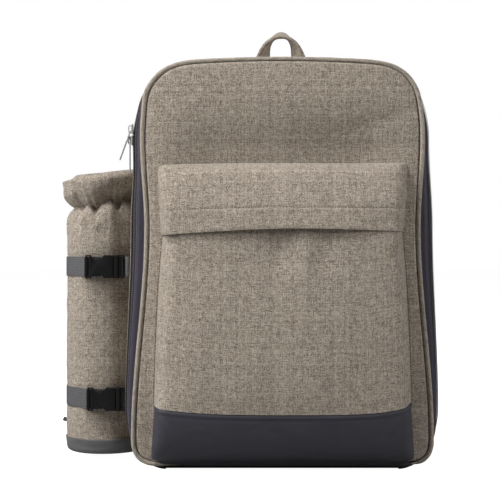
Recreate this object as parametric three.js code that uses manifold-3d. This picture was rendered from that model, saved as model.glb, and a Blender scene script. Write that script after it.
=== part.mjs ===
// Picnic backpack standing on its base: a soft hollow body with a zip round it, a boxed front pocket under a flap,
// a bottle sleeve strapped to the left side and two shoulder straps behind.
// Millimetres. X runs to the right, Y to the back, Z up; the origin is on the ground under the middle of the body.
import * as THREE from "three";
import { mergeVertices } from "three/addons/utils/BufferGeometryUtils.js";
import Module from "manifold-3d";

const wasm = await Module();
wasm.setup();

const GAP = 0.3;

// Body
const FRONT_Y = -75;
const PIPING_RADIUS = 2.25;
const PANEL_WALL = 2.5;
const STRIP_WALL = 1.2;
const GUSSET_WALL = 3;
const BASE_WALL = 3;
const WAIST_Z = 236;
const CHEST_Z = 321;
const SHOULDER_X = 78;
const CROWN_DROP = 2.2;
const CORNER_FULLNESS = 0.69;
// Outer face of the body at each depth behind the front piping: half widths, heights of base and crown,
// and where the lower corner begins on the base and ends on the side
const BODY = [
  { depth: 0, hip: 143.8, waist: 130.8, chest: 134.7, base: 7.3, crown: 397.7, foot: 116, hipZ: 40 },
  { depth: 3, hip: 145, waist: 133.6, chest: 135.8, base: 4.2, crown: 398.2, foot: 114, hipZ: 43 },
  { depth: 10, hip: 148.8, waist: 141, chest: 140.2, base: 0.9, crown: 399.8, foot: 110, hipZ: 50 },
  { depth: 20, hip: 152.3, waist: 146.8, chest: 144.4, base: 0, crown: 400.8, foot: 106, hipZ: 58 },
  { depth: 31, hip: 153.5, waist: 148.6, chest: 146, base: 0, crown: 401.2, foot: 106, hipZ: 58 },
  { depth: 62, hip: 144.5, waist: 142.5, chest: 142, base: 0, crown: 401.2, foot: 106, hipZ: 58 },
  { depth: 92, hip: 137.5, waist: 136.5, chest: 136, base: 0, crown: 400.4, foot: 106, hipZ: 58 },
  { depth: 125, hip: 133.5, waist: 132, chest: 131.5, base: 0, crown: 397.6, foot: 106, hipZ: 58 },
  { depth: 147, hip: 130.5, waist: 128.6, chest: 128, base: 3.6, crown: 393.4, foot: 106, hipZ: 58 },
];
const OUTLINE_STEPS = [3, 5, 5, 3, 6, 4];
const FOOT_STATION = OUTLINE_STEPS[0];
const STATIONS = 2 * OUTLINE_STEPS.reduce((sum, n) => sum + n, 0);
const ZIP_DEPTH = 20.6;
const MIDDLE_Z = 200;

// Front panel: dome, the shallow dent above the right half of the flap, and the hollow along the flap's seam
const PANEL_DOME = 6;
const DENT = { x: 62, z: 326, spreadX: 48, spreadZ: 20, deep: 2.4 };
const HOLLOW = { z: 304, spread: 34, reach: 128, deep: 3.6 };
// Back panel: height of its padding at each share of the way from the middle to the edge
const BACK_OUTER = [{ share: 0.9, y: 78.5 }, { share: 0.965, y: 77.6 }, { share: 1, y: 74.6 }];
const BACK_INNER = [{ share: 1, y: 71.8 }, { share: 0.5, y: 72.2 }];
const BACK_FACE_Y = 78.5;

// Front pocket by height: half widths at the seam and at the face, how far it stands out, and the swell of its middle
const POCKET_WALL = 1.8;
const POCKET = [
  { z: 10, seam: 126.5, face: 125, deep: 3.6, swell: 0, round: 2 },
  { z: 15, seam: 126.4, face: 124.8, deep: 15, swell: 0.5, round: 9 },
  { z: 22, seam: 126, face: 124, deep: 23, swell: 1, round: 12 },
  { z: 36, seam: 125, face: 122, deep: 30, swell: 2, round: 13 },
  { z: 58, seam: 123.8, face: 120, deep: 34, swell: 3, round: 12 },
  { z: 90, seam: 122.8, face: 118.6, deep: 35, swell: 4, round: 11 },
  { z: 138, seam: 121, face: 116.6, deep: 34, swell: 3, round: 10 },
  { z: 187, seam: 118.4, face: 112, deep: 30, swell: 0, round: 9 },
  { z: 226, seam: 115.2, face: 106.6, deep: 25.8, swell: -3, round: 8 },
  { z: 256, seam: 113.6, face: 104.6, deep: 23.2, swell: -4, round: 8 },
];
const POCKET_FOOT = { middle: 10.4, cornerRise: 5.4 };
const BAND_SEAM = { middle: 59, leftRise: 10, rightRise: 17, power: 5 };
// Flap by height, hanging over the mouth of the pocket
const FLAP_WALL = 1.8;
const FLAP = [
  { z: 232, seam: 116.8, face: 110.2, deep: 33.2, swell: 0, round: 8 },
  { z: 247, seam: 117.8, face: 111.4, deep: 32.8, swell: 0.4, round: 9 },
  { z: 262, seam: 118.8, face: 112.8, deep: 31.7, swell: 0.6, round: 10 },
  { z: 276, seam: 119.6, face: 114, deep: 30.2, swell: 0.6, round: 11 },
  { z: 287, seam: 120, face: 114.4, deep: 27, swell: 0.4, round: 11 },
  { z: 293.5, seam: 119.8, face: 114.2, deep: 21.4, swell: 0.2, round: 9 },
  { z: 296.6, seam: 119.2, face: 113.2, deep: 12, swell: 0, round: 5 },
  { z: 297.6, seam: 118.2, face: 112.2, deep: 2.8, swell: 0, round: 1.5 },
];
const FLAP_EDGE = { leftDrop: 2.6, arch: 3.4 };

// Bottle sleeve
const SLEEVE_X = -180;
const SLEEVE_Y = 15;
const SLEEVE_RADIUS = 41;
const SLEEVE_WALL = 3.5;
const SLEEVE_PRESSED_AT = 36.6;
const SLEEVE_FOOT_Z = 8;
const SLEEVE_BAND_Z = 20;
const SLEEVE_SHOULDER_Z = 245;
const SLEEVE_NECK_Z = 257;
const SLEEVE_NECK_RADIUS = 33;
const SLEEVE_SIDES = 40;
// Gathered collar from the neck up and in to its drawn mouth: pleat is the depth of the gathers in that row
const COLLAR_WALL = 1.4;
const COLLAR = [
  { radius: 30.6, z: 257.3, pleat: 1.8 },
  { radius: 36.6, z: 262, pleat: 2.2 },
  { radius: 41, z: 270, pleat: 1.9 },
  { radius: 43.8, z: 278, pleat: 1.4 },
  { radius: 44.4, z: 285.4, pleat: 1.1 },
  { radius: 39.6, z: 290.4, pleat: 1.4 },
  { radius: 30, z: 292, pleat: 1.8 },
  { radius: 20, z: 289.4, pleat: 1.6 },
];
const COLLAR_PLEATS = 13;
const COLLAR_SIDES = 52;
const COLLAR_SLANT = 0.15;

// Webbing straps round the sleeve and their buckles
const WEB = 1.2;
const SLEEVE_STRAP_WIDTH = 20;
const SLEEVE_STRAPS = [
  { name: "upper", z: 197, buckleX: -176.4 },
  { name: "lower", z: 64.5, buckleX: -174.4 },
];
const BUCKLE_Y = -31.9;
const BUCKLE_HALF_HEIGHT = 11.6;
const BUCKLE_THICK = 8.4;
const BUCKLE_BAR = 2.4;

// Handle loop: width turns from flat at the feet to nearly edge-on at the top
const HANDLE_WIDTH = 20;
const HANDLE_X = 2.8;
const HANDLE = [
  { x: -22.4, y: 80.2, z: 378, turn: 0, thick: 3 },
  { x: -22.4, y: 80, z: 394, turn: 0, thick: 3 },
  { x: -21.8, y: 79.8, z: 408, turn: -25, thick: 3.4 },
  { x: -19.4, y: 78.4, z: 423.5, turn: -50, thick: 4.2 },
  { x: -14.2, y: 77.4, z: 438, turn: -74, thick: 5 },
  { x: -6.9, y: 76.8, z: 446.8, turn: -91, thick: 5.4 },
  { x: 0, y: 76.6, z: 449.2, turn: -96, thick: 5.2 },
];

// Shoulder straps, right one; the left is its mirror
const SHOULDER = [
  { x: 38, y: 81.6, z: 373, width: 46, thick: 5.4 },
  { x: 40, y: 85.6, z: 356, width: 55, thick: 9 },
  { x: 44, y: 97, z: 320, width: 60, thick: 11 },
  { x: 49, y: 107, z: 275, width: 60, thick: 11 },
  { x: 56, y: 110.5, z: 222, width: 58, thick: 11 },
  { x: 66, y: 106.5, z: 170, width: 52, thick: 10 },
  { x: 78, y: 98, z: 130, width: 42, thick: 8 },
  { x: 83, y: 91.4, z: 107.6, width: 28, thick: 4.2 },
];
const ADJUSTER = { x: 84, y: 91, z: 93, width: 32, height: 22, thick: 2.4 };
const SHOULDER_WEB_WIDTH = 22;
// Webbing from the lower corner up round the adjuster bar, then the free end; side is the direction of its width
const SHOULDER_WEB = [
  { x: 107, y: 79.5, z: 30, side: [1, 0, 0.3] },
  { x: 104, y: 79.7, z: 42, side: [1, 0, 0.28] },
  { x: 94, y: 84.6, z: 68, side: [1, 0, 0.24] },
  { x: 85.5, y: 88, z: 86, side: [1, 0, 0.06] },
  { x: 84, y: 88.6, z: 92.4, side: [1, 0, 0] },
  { x: 84, y: 89.2, z: 94.4, side: [1, 0, 0] },
  { x: 84, y: 91, z: 95.5, side: [1, 0, 0] },
  { x: 84, y: 92.8, z: 94.4, side: [1, 0, 0] },
  { x: 84, y: 93.4, z: 92.4, side: [1, 0, 0] },
];
const RIGHT_FREE_END = [
  { x: 84.6, y: 95.4, z: 78, side: [1, 0, 0] },
  { x: 87, y: 98, z: 54, side: [1, 0, 0.06] },
  { x: 90, y: 99, z: 30, side: [1, 0, 0.1] },
  { x: 91.6, y: 98.6, z: 16, side: [1, 0, 0.1] },
];
const LEFT_FREE_END = [
  { x: -86, y: 95.4, z: 82, side: [-1, 0.1, 0.1] },
  { x: -98, y: 99.5, z: 64, side: [-0.75, 0.45, 0.45] },
  { x: -130, y: 100, z: 46, side: [-0.3, 0.95, 0.3] },
  { x: -170, y: 97, z: 34, side: [0, 1, 0] },
  { x: -206, y: 94, z: 28, side: [0, 1, 0] },
  { x: -229, y: 92, z: 26.4, side: [0, 1, 0] },
  { x: -237, y: 91.4, z: 28, side: [0, 1, 0] },
];

// Zip sliders and pulls: the pull's pin lies under the slider's bail, and the pull swings about Y
const SLIDERS = [
  { name: "upper", z: 332, lean: 20, color: 0xb9b9bc },
  { name: "lower", z: 321, lean: 0, color: 0xb9b9bc },
];
const SLIDER = {
  width: 8, height: 10, plate: 1.6, lift: 1.8, bailWidth: 1.6, bailReach: 3.2, bailHalf: 4, bailBar: 1.1,
};
const PULL = {
  pinOut: 1.05, pinDrop: 1.9, pinHalf: 0.5, armIn: 1.2, armOut: 2.4, armLength: 10.5, length: 30, thick: 1,
};

const V3 = (x, y, z) => new THREE.Vector3(x, y, z);

function hermite(rows, key, at) {
  return (value) => {
    const last = rows.length - 1;
    let i = rows.findIndex((row) => row[key] > value) - 1;
    if (i === -2) i = last - 1;
    i = Math.max(0, i);
    const span = rows[i + 1][key] - rows[i][key];
    const t = (value - rows[i][key]) / span;
    const slope = (j) => {
      const a = Math.max(0, j - 1);
      const b = Math.min(last, j + 1);
      return (rows[b][at] - rows[a][at]) / (rows[b][key] - rows[a][key]);
    };
    const rise = rows[i + 1][at] - rows[i][at];
    const s0 = slope(i) * span;
    const s1 = slope(i + 1) * span;
    return rows[i][at] + t * (s0 + t * (3 * rise - 2 * s0 - s1 + t * (s0 + s1 - 2 * rise)));
  };
}

function table(rows, key) {
  const columns = Object.keys(rows[0]).filter((name) => name !== key);
  const curves = columns.map((name) => [name, hermite(rows, key, name)]);
  return (value) => Object.fromEntries(curves.map(([name, curve]) => [name, curve(value)]));
}

const bodyAt = table(BODY, "depth");
const pocketAt = table(POCKET, "z");
const flapAt = table(FLAP, "z");

// One closed body from points and triangles, turned so that its faces look outward.
function solid(points, faces) {
  let geometry = new THREE.BufferGeometry().setFromPoints(points);
  geometry.setIndex(faces);
  geometry = mergeVertices(geometry, 1e-3);
  const p = geometry.getAttribute("position");
  const index = geometry.getIndex().array;
  const kept = [];
  let volume = 0;
  for (let i = 0; i < index.length; i += 3) {
    const [a, b, c] = index.slice(i, i + 3);
    if (a === b || b === c || a === c) continue;
    kept.push([a, b, c]);
    const [va, vb, vc] = [a, b, c].map((n) => new THREE.Vector3().fromBufferAttribute(p, n));
    volume += va.dot(vb.cross(vc));
  }
  geometry.setIndex(kept.flatMap(([a, b, c]) => (volume < 0 ? [a, c, b] : [a, b, c])));
  return geometry;
}

// Joins rings of equal length along a path; an open path gets a cap at each end.
function sweep(rings, closed = false) {
  const count = rings[0].length;
  const faces = [];
  const spans = closed ? rings.length : rings.length - 1;
  for (let i = 0; i < spans; i++) {
    const a = i * count;
    const b = ((i + 1) % rings.length) * count;
    for (let j = 0; j < count; j++) {
      const k = (j + 1) % count;
      faces.push(a + j, b + j, b + k, a + j, b + k, a + k);
    }
  }
  if (!closed) {
    const end = (rings.length - 1) * count;
    for (let j = 0; j < count / 2 - 1; j++) {
      const k = count - 1 - j;
      faces.push(j, j + 1, k - 1, j, k - 1, k);
      faces.push(end + j, end + k - 1, end + j + 1, end + j, end + k, end + k - 1);
    }
  }
  return solid(rings.flat(), faces);
}

// A closed body from rings that begin and end at a single point.
function shell(rings, first, last) {
  const count = rings[0].length;
  const points = [first, ...rings.flat(), last];
  const faces = [];
  for (let j = 0; j < count; j++) {
    const k = (j + 1) % count;
    faces.push(0, 1 + j, 1 + k);
    for (let i = 0; i < rings.length - 1; i++) {
      const a = 1 + i * count;
      faces.push(a + j, a + count + j, a + count + k, a + j, a + count + k, a + k);
    }
    const end = 1 + (rings.length - 1) * count;
    faces.push(points.length - 1, end + k, end + j);
  }
  return solid(points, faces);
}

// Outward normals of a grid of points, rows by columns.
function gridNormals(grid) {
  const pick = (list, i) => list[Math.max(0, Math.min(list.length - 1, i))];
  return grid.map((row, i) => row.map((_, j) => {
    const along = pick(grid, i + 1)[j].clone().sub(pick(grid, i - 1)[j]);
    const across = pick(row, j + 1).clone().sub(pick(row, j - 1));
    return across.cross(along).normalize();
  }));
}

// A sheet of cloth: the grid is its outer face, and settle may move the inner points.
function sheet(grid, wall, settle = (p) => p) {
  const normals = gridNormals(grid);
  return sweep(grid.map((row, i) => {
    const inner = row.map((p, j) => settle(p.clone().addScaledVector(normals[i][j], -wall)));
    return [...row, ...inner.reverse()];
  }));
}

// Flat or padded strip along rows of a path; corner 1 is a square edge, larger rounds it.
function strip(rows, corners) {
  return sweep(rows.map((row, i) => {
    const before = rows[Math.max(0, i - 1)].at;
    const after = rows[Math.min(rows.length - 1, i + 1)].at;
    const tangent = after.clone().sub(before).normalize();
    const side = row.side.clone().addScaledVector(tangent, -row.side.dot(tangent)).normalize();
    const face = tangent.clone().cross(side);
    return corners.map(([u, v]) => row.at.clone()
      .addScaledVector(side, (u * row.width) / 2)
      .addScaledVector(face, (v * row.thick) / 2));
  }));
}
const SQUARE = [[-1, -1], [1, -1], [1, 1], [-1, 1]];
const PADDED = [[-1, -0.3], [-0.8, -0.86], [0, -1], [0.8, -0.86], [1, -0.3],
  [1, 0.3], [0.8, 0.86], [0, 1], [-0.8, 0.86], [-1, 0.3]];

function join(base, { add = [], cut = [] }) {
  const body = (geometry) => {
    const g = geometry.clone();
    ["normal", "uv"].forEach((name) => g.deleteAttribute(name));
    const welded = g.getIndex() && !geometry.parameters ? g : mergeVertices(g, 1e-4);
    return new wasm.Manifold(new wasm.Mesh({
      numProp: 3,
      vertProperties: new Float32Array(welded.getAttribute("position").array),
      triVerts: new Uint32Array(welded.getIndex().array),
    }));
  };
  let result = body(base);
  add.forEach((piece) => { result = result.add(body(piece)); });
  cut.forEach((piece) => { result = result.subtract(body(piece)); });
  const mesh = result.getMesh();
  const geometry = new THREE.BufferGeometry();
  geometry.setAttribute("position", new THREE.BufferAttribute(Float32Array.from(mesh.vertProperties), 3));
  geometry.setIndex(Array.from(mesh.triVerts));
  return geometry;
}

function block(x0, x1, y0, y1, z0, z1) {
  return new THREE.BoxGeometry(x1 - x0, y1 - y0, z1 - z0).translate((x0 + x1) / 2, (y0 + y1) / 2, (z0 + z1) / 2);
}

// A plate drawn in the X-Z plane, its thickness centred on Y.
function plate(outline, thick, holes = []) {
  const shape = new THREE.Shape(outline.map(([x, z]) => new THREE.Vector2(x, z)));
  holes.forEach((hole) => shape.holes.push(new THREE.Path(hole.map(([x, z]) => new THREE.Vector2(x, z)))));
  const geometry = new THREE.ExtrudeGeometry(shape, { depth: thick, bevelEnabled: false });
  return geometry.translate(0, 0, -thick / 2).rotateX(Math.PI / 2);
}
const rectangle = (x0, x1, z0, z1) => [[x0, z0], [x1, z0], [x1, z1], [x0, z1]];

const group = new THREE.Group();
const CLOTH = 0x9d9080;
function add(name, geometry, color, roughness = 0.9, metalness = 0) {
  const mesh = new THREE.Mesh(geometry, new THREE.MeshStandardMaterial({ color, roughness, metalness }));
  mesh.name = name;
  group.add(mesh);
}

// Body: the same outline at every depth, from the middle of the base up the right side and down the left
function halfOutline(size, steps = OUTLINE_STEPS) {
  const base = Math.max(0, size.base);
  const top = size.crown - CROWN_DROP;
  const k = CORNER_FULLNESS;
  const path = new THREE.Path();
  path.moveTo(0, base);
  const { hip, foot, hipZ } = size;
  path.lineTo(foot, base);
  path.bezierCurveTo(foot + k * (hip - foot), base, hip, hipZ - k * (hipZ - base), hip, hipZ);
  for (const [from, to, z0, z1] of [["hip", "waist", hipZ, WAIST_Z], ["waist", "chest", WAIST_Z, CHEST_Z]]) {
    path.bezierCurveTo(size[from], z0 + (z1 - z0) / 3, size[to], z1 - (z1 - z0) / 3, size[to], z1);
  }
  const lean = 2 * CROWN_DROP * k * (size.chest - SHOULDER_X) / SHOULDER_X;
  path.bezierCurveTo(size.chest, CHEST_Z + k * (top - CHEST_Z),
    SHOULDER_X + k * (size.chest - SHOULDER_X), top - lean, SHOULDER_X, top);
  path.quadraticCurveTo(SHOULDER_X / 2, size.crown, 0, size.crown);
  return path.curves.flatMap((curve, i) => Array.from({ length: steps[i] }, (_, n) => curve.getPoint(n / steps[i])))
    .concat(new THREE.Vector2(0, size.crown));
}

const outlines = new Map();
function outline(depth) {
  if (!outlines.has(depth)) {
    const half = halfOutline(bodyAt(depth));
    const mirror = half.slice(1, -1).reverse().map((p) => new THREE.Vector2(-p.x, p.y));
    outlines.set(depth, [...half, ...mirror]);
  }
  return outlines.get(depth);
}
function bodyPoint(station, depth) {
  const p = outline(depth)[(station + STATIONS) % STATIONS];
  return V3(p.x, FRONT_Y + depth, p.y);
}
function bodyNormal(station, depth) {
  const along = bodyPoint(station + 1, depth).sub(bodyPoint(station - 1, depth));
  const back = bodyPoint(station, depth + 0.4).sub(bodyPoint(station, Math.max(0, depth - 0.4)));
  return back.cross(along).normalize();
}
// Half width of the body at a height, on its side
function sideX(depth, z) {
  const half = halfOutline(bodyAt(depth), [2, 24, 40, 24, 40, 4]);
  const i = half.findIndex((p, n) => n > 0 && p.y >= z && half[n - 1].y < z && p.x > SHOULDER_X);
  const t = (z - half[i - 1].y) / (half[i].y - half[i - 1].y);
  return half[i - 1].x + t * (half[i].x - half[i - 1].x);
}
// Wall of the body between depths, over a run of stations
function bodyWall(depths, wall, from, to, squeeze = 1) {
  const grid = [];
  for (let station = from; station <= to; station++) {
    grid.push(depths.map((depth) => bodyPoint(station, depth).multiply(V3(squeeze, 1, 1))));
  }
  const besideBase = (p) => {
    const { foot, hipZ } = bodyAt(p.y - FRONT_Y);
    return p.z < hipZ && from > 0 ? p.setX(Math.sign(p.x) * Math.max(foot, Math.abs(p.x))) : p;
  };
  return sheet(grid, wall, besideBase);
}
const UPPER_RUN = [FOOT_STATION, STATIONS - FOOT_STATION];

function panelY(x, z) {
  const across = 1 - Math.min(1, Math.abs(x) / 142) ** 4;
  const up = 1 - Math.min(1, Math.abs(z - MIDDLE_Z) / 198) ** 4;
  const dent = DENT.deep * Math.exp(-(((x - DENT.x) / DENT.spreadX) ** 2) - ((z - DENT.z) / DENT.spreadZ) ** 2);
  const fade = 1 - Math.min(1, Math.abs(x) / HOLLOW.reach) ** 4;
  const hollow = HOLLOW.deep * fade * Math.exp(-(((z - HOLLOW.z) / HOLLOW.spread) ** 2));
  return FRONT_Y - 1 - PANEL_DOME * across * up + dent + hollow;
}

function pipingRings(from, to) {
  const rings = [];
  for (let station = from; station <= to; station++) {
    const p = bodyPoint(station, 0);
    const along = bodyPoint(station + 1, 0).sub(bodyPoint(station - 1, 0)).normalize();
    const out = V3(along.z, 0, -along.x);
    rings.push(Array.from({ length: 6 }, (_, n) => {
      const turn = (n * Math.PI) / 3;
      return p.clone().addScaledVector(out, PIPING_RADIUS * Math.cos(turn))
        .add(V3(0, PIPING_RADIUS * Math.sin(turn), 0));
    }));
  }
  return rings;
}

function frontPanel() {
  const seam = outline(0).map((_, i) => {
    const along = bodyPoint(i + 1, 0).sub(bodyPoint(i - 1, 0)).normalize();
    return bodyPoint(i, 0).addScaledVector(V3(along.z, 0, -along.x), -(PIPING_RADIUS + GAP));
  });
  const ring = (share, back) => seam.map((p) => {
    const x = p.x * share;
    const z = MIDDLE_Z + (p.z - MIDDLE_Z) * share;
    return V3(x, panelY(x, z) + back, z);
  });
  const outer = [0.2, 0.45, 0.7, 0.9, 1].map((share) => ring(share, 0));
  const inner = [1, 0.7, 0.3].map((share) => ring(share, PANEL_WALL));
  const middle = panelY(0, MIDDLE_Z);
  return shell([...outer, ...inner], V3(0, middle, MIDDLE_Z), V3(0, middle + PANEL_WALL, MIDDLE_Z));
}

function backPanel() {
  const seam = outline(147);
  const ring = ({ share, y }) => seam.map((p) => V3(p.x * share, y, MIDDLE_Z + (p.y - MIDDLE_Z) * share));
  const rings = [...BACK_OUTER, ...BACK_INNER].map(ring);
  return shell(rings, V3(0, BACK_FACE_Y, MIDDLE_Z), V3(0, BACK_INNER.at(-1).y, MIDDLE_Z));
}

add("front_panel", frontPanel(), CLOTH);
add("front_piping", sweep(pipingRings(...UPPER_RUN)), 0xa29683);
add("base_piping", sweep(pipingRings(-FOOT_STATION, FOOT_STATION).map((ring) => ring.map((p) => p.setX(p.x * 0.996)))),
  0x34343a, 0.6);
add("front_strip", bodyWall([2.7, 7, 11.6], STRIP_WALL, ...UPPER_RUN), 0x4c4854, 0.6);
add("zip_tape", bodyWall([12, 20.6, 26.2], 1, ...UPPER_RUN), 0x37343b, 0.8);
add("side_gusset", bodyWall([26.8, 36, 50, 68, 92, 122, 146.4], GUSSET_WALL, ...UPPER_RUN), CLOTH);
add("base_panel", bodyWall([2.7, 7, 12, 20.6, 28, 126, 146.5], BASE_WALL, -FOOT_STATION, FOOT_STATION, 0.996),
  0x1b1a1e, 0.7);
add("back_panel", backPanel(), CLOTH);

// The coil stops short of the base on both sides
const COIL_STOP = 4;
const COIL_SECTION = [[-2.2, 0.3], [-1.7, 1], [0, 1.3], [1.7, 1], [2.2, 0.3], [0, 0.3]];
function coilRings() {
  const rings = [];
  for (let station = UPPER_RUN[0] + COIL_STOP; station <= UPPER_RUN[1] - COIL_STOP; station++) {
    rings.push(COIL_SECTION.map(([across, out]) => bodyPoint(station, ZIP_DEPTH + across)
      .addScaledVector(bodyNormal(station, ZIP_DEPTH), out)));
  }
  return rings;
}
add("zip_coil", sweep(coilRings()), 0x2b2a2e, 0.5);

// Pocket and flap: each row is a boxed section that stands out from the front panel
function boxedRow(size, heightAt) {
  const reach = Math.hypot(size.seam - size.face, size.deep);
  const back = Math.min(0.9, size.round / reach);
  const start = [size.face + (size.seam - size.face) * back, size.deep * (1 - back)];
  const end = [size.face - size.round, size.deep];
  const bend = [0.25 * start[0] + 0.5 * size.face + 0.25 * end[0], 0.25 * start[1] + 0.75 * size.deep];
  const half = [[size.seam, 0], start, bend, end, [end[0] * 0.72, size.deep], [end[0] * 0.38, size.deep]];
  const across = [...half.map(([x, deep]) => [-x, deep]), [0, size.deep], ...half.reverse()];
  return across.map(([x, deep]) => {
    const z = heightAt(x);
    const swell = size.swell * Math.max(0, 1 - (x / size.face) ** 2);
    return V3(x, panelY(x, z) - GAP - 0.1 - deep - swell, z);
  });
}
const offPanel = (p) => p.setY(Math.min(p.y, panelY(p.x, p.z) - GAP - 0.1));
const footZ = (x) => POCKET_FOOT.middle + POCKET_FOOT.cornerRise * (Math.abs(x) / 125) ** 6;
function seamZ(x) {
  const rise = x < 0 ? BAND_SEAM.leftRise : BAND_SEAM.rightRise;
  return BAND_SEAM.middle + rise * (Math.abs(x) / 122) ** BAND_SEAM.power;
}
// Rows between a lower and an upper edge; each column takes the pocket's size at its own height
function pocketGrid(shares, low, high) {
  return shares.map((share) => {
    const heightAt = (x) => low(x) + share * (high(x) - low(x));
    const columns = boxedRow(pocketAt(heightAt(0)), heightAt);
    return columns.map((p, j) => boxedRow(pocketAt(p.z), () => p.z)[j]);
  });
}
const MOUTH_Z = 256;
add("pocket_band", sheet(pocketGrid([0, 0.08, 0.2, 0.42, 0.7, 1], footZ, (x) => seamZ(x) - 0.2), POCKET_WALL, offPanel),
  0x33333a, 0.55);
add("pocket_face", sheet(pocketGrid([0, 0.1, 0.24, 0.42, 0.6, 0.76, 0.88, 1], (x) => seamZ(x) + 0.2, () => MOUTH_Z),
  POCKET_WALL, offPanel), CLOTH);

function flapGrid() {
  const rows = [232, 240, 250, 262, 276, 285, 291, 295, 297, 297.6];
  return rows.map((z, i) => {
    const share = Math.max(0, 1 - i / 4);
    const lift = (x) => share * (FLAP_EDGE.arch * (1 - (x / 112) ** 2) - FLAP_EDGE.leftDrop * Math.max(0, -x / 112));
    return boxedRow(flapAt(z), (x) => z + lift(x));
  });
}
add("pocket_flap", sheet(flapGrid(), FLAP_WALL, offPanel), 0xa39684);

// Bottle sleeve: turned shapes, pressed flat where they meet the side of the body
function turned(profile, sides, shapePoint = (p) => p) {
  const geometry = new THREE.LatheGeometry(profile.map(([r, z]) => new THREE.Vector2(r, z)), sides);
  geometry.rotateX(Math.PI / 2);
  const position = geometry.getAttribute("position");
  const points = Array.from({ length: position.count }, (_, i) => {
    const p = shapePoint(V3(0, 0, 0).fromBufferAttribute(position, i), i);
    const over = p.x - SLEEVE_PRESSED_AT;
    if (over > -3) p.x = SLEEVE_PRESSED_AT - 3 + 3 * (1 - Math.exp(-(over + 3) / 3));
    return p.add(V3(SLEEVE_X, SLEEVE_Y, 0));
  });
  return solid(points, Array.from(geometry.getIndex().array));
}
const R = SLEEVE_RADIUS;
const W = SLEEVE_WALL;
const N = SLEEVE_NECK_RADIUS;
add("bottle_sleeve", turned([
  [R, SLEEVE_BAND_Z + GAP], [R, 90], [R, 170], [R, SLEEVE_SHOULDER_Z - 4], [R - 1.2, SLEEVE_SHOULDER_Z + 3],
  [R - 4, SLEEVE_NECK_Z - 3], [N, SLEEVE_NECK_Z], [N - 2, SLEEVE_NECK_Z - 2], [R - W - 2, SLEEVE_SHOULDER_Z],
  [R - W, SLEEVE_SHOULDER_Z - 8], [R - W, SLEEVE_BAND_Z + GAP], [R, SLEEVE_BAND_Z + GAP],
], SLEEVE_SIDES), CLOTH);
add("bottle_base", turned([
  [0, SLEEVE_FOOT_Z], [R - 5, SLEEVE_FOOT_Z], [R - 1.4, SLEEVE_FOOT_Z + 1.4], [R, SLEEVE_FOOT_Z + 5], [R, SLEEVE_BAND_Z],
  [R - 3, SLEEVE_BAND_Z], [R - 3, SLEEVE_FOOT_Z + 3], [0, SLEEVE_FOOT_Z + 3],
], SLEEVE_SIDES), 0x4b4d50, 0.6);

const COLLAR_INNER = COLLAR.map(({ radius, z, pleat }, i) => {
  const a = COLLAR[Math.max(0, i - 1)];
  const b = COLLAR[Math.min(COLLAR.length - 1, i + 1)];
  const run = Math.hypot(b.radius - a.radius, b.z - a.z);
  const inset = COLLAR_WALL / run;
  return { radius: radius - inset * (b.z - a.z), z: z + inset * (b.radius - a.radius), pleat };
});
const collarRows = [...COLLAR, ...COLLAR_INNER.reverse(), COLLAR[0]];
function gather(p, i) {
  const row = collarRows[i % collarRows.length];
  const turn = Math.atan2(p.y, p.x);
  const fold = Math.cos(COLLAR_PLEATS * turn + 1.1 * Math.sin(2 * turn)) + 0.45 * Math.cos(5 * turn + 0.7);
  const share = 1 + (0.72 * row.pleat * fold) / row.radius;
  const rise = Math.max(0, Math.min(1, (row.z - SLEEVE_NECK_Z - 2) / 24));
  return V3(p.x * share, p.y * share, p.z + COLLAR_SLANT * p.x * rise);
}
add("bottle_collar", turned(collarRows.map(({ radius, z }) => [radius, z]), COLLAR_SIDES, gather), 0x94886f);

// Sleeve straps: the long one runs from the back of the gusset round the sleeve, the short one from beside the zip;
// each ends in a loop round a bar of its buckle
const UP = V3(0, 0, 1);
function sleeveStrap(points, z) {
  return strip(points.map(([x, y]) => ({ at: V3(x, y, z), side: UP, width: SLEEVE_STRAP_WIDTH, thick: WEB })), SQUARE);
}
function barLoop(barX, toward) {
  const loop = [[-0.9, 2.4], [0.7, 2.3], [1.9, 1.5], [2.2, 0], [1.9, -1.5], [0.7, -2.3], [-1.2, -2.4]];
  return loop.map(([along, back]) => [barX + toward * along, BUCKLE_Y + back]);
}
const onGusset = (depth, z, out = GAP + WEB / 2) => [-(sideX(depth, z) + out), FRONT_Y + depth];
const socketOutline = [[-16.6, -11], [-14.4, -11.6], [-13, -9.4], [-9.6, -6.6], [-6, -6.8], [-2.4, -9.6], [-0.6, -11.6],
  [8.6, -11.2], [8.6, 11.2], [-0.6, 11.6], [-2.4, 9.6], [-6, 6.8], [-9.6, 6.6], [-13, 9.4], [-14.4, 11.6], [-16.6, 11]];
const prongOutline = [[9.4, -8], [2, -8.6], [-4.4, -9.4], [-8, -8.2], [-12, -5.6], [-12, -3.4], [-6, -4], [4, -3.4],
  [4, -1.6], [-10, -1.4], [-10, 1.4], [4, 1.6],
  [4, 3.4], [-6, 4], [-12, 3.4], [-12, 5.6], [-8, 8.2], [-4.4, 9.4], [2, 8.6], [9.4, 8]];

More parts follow.
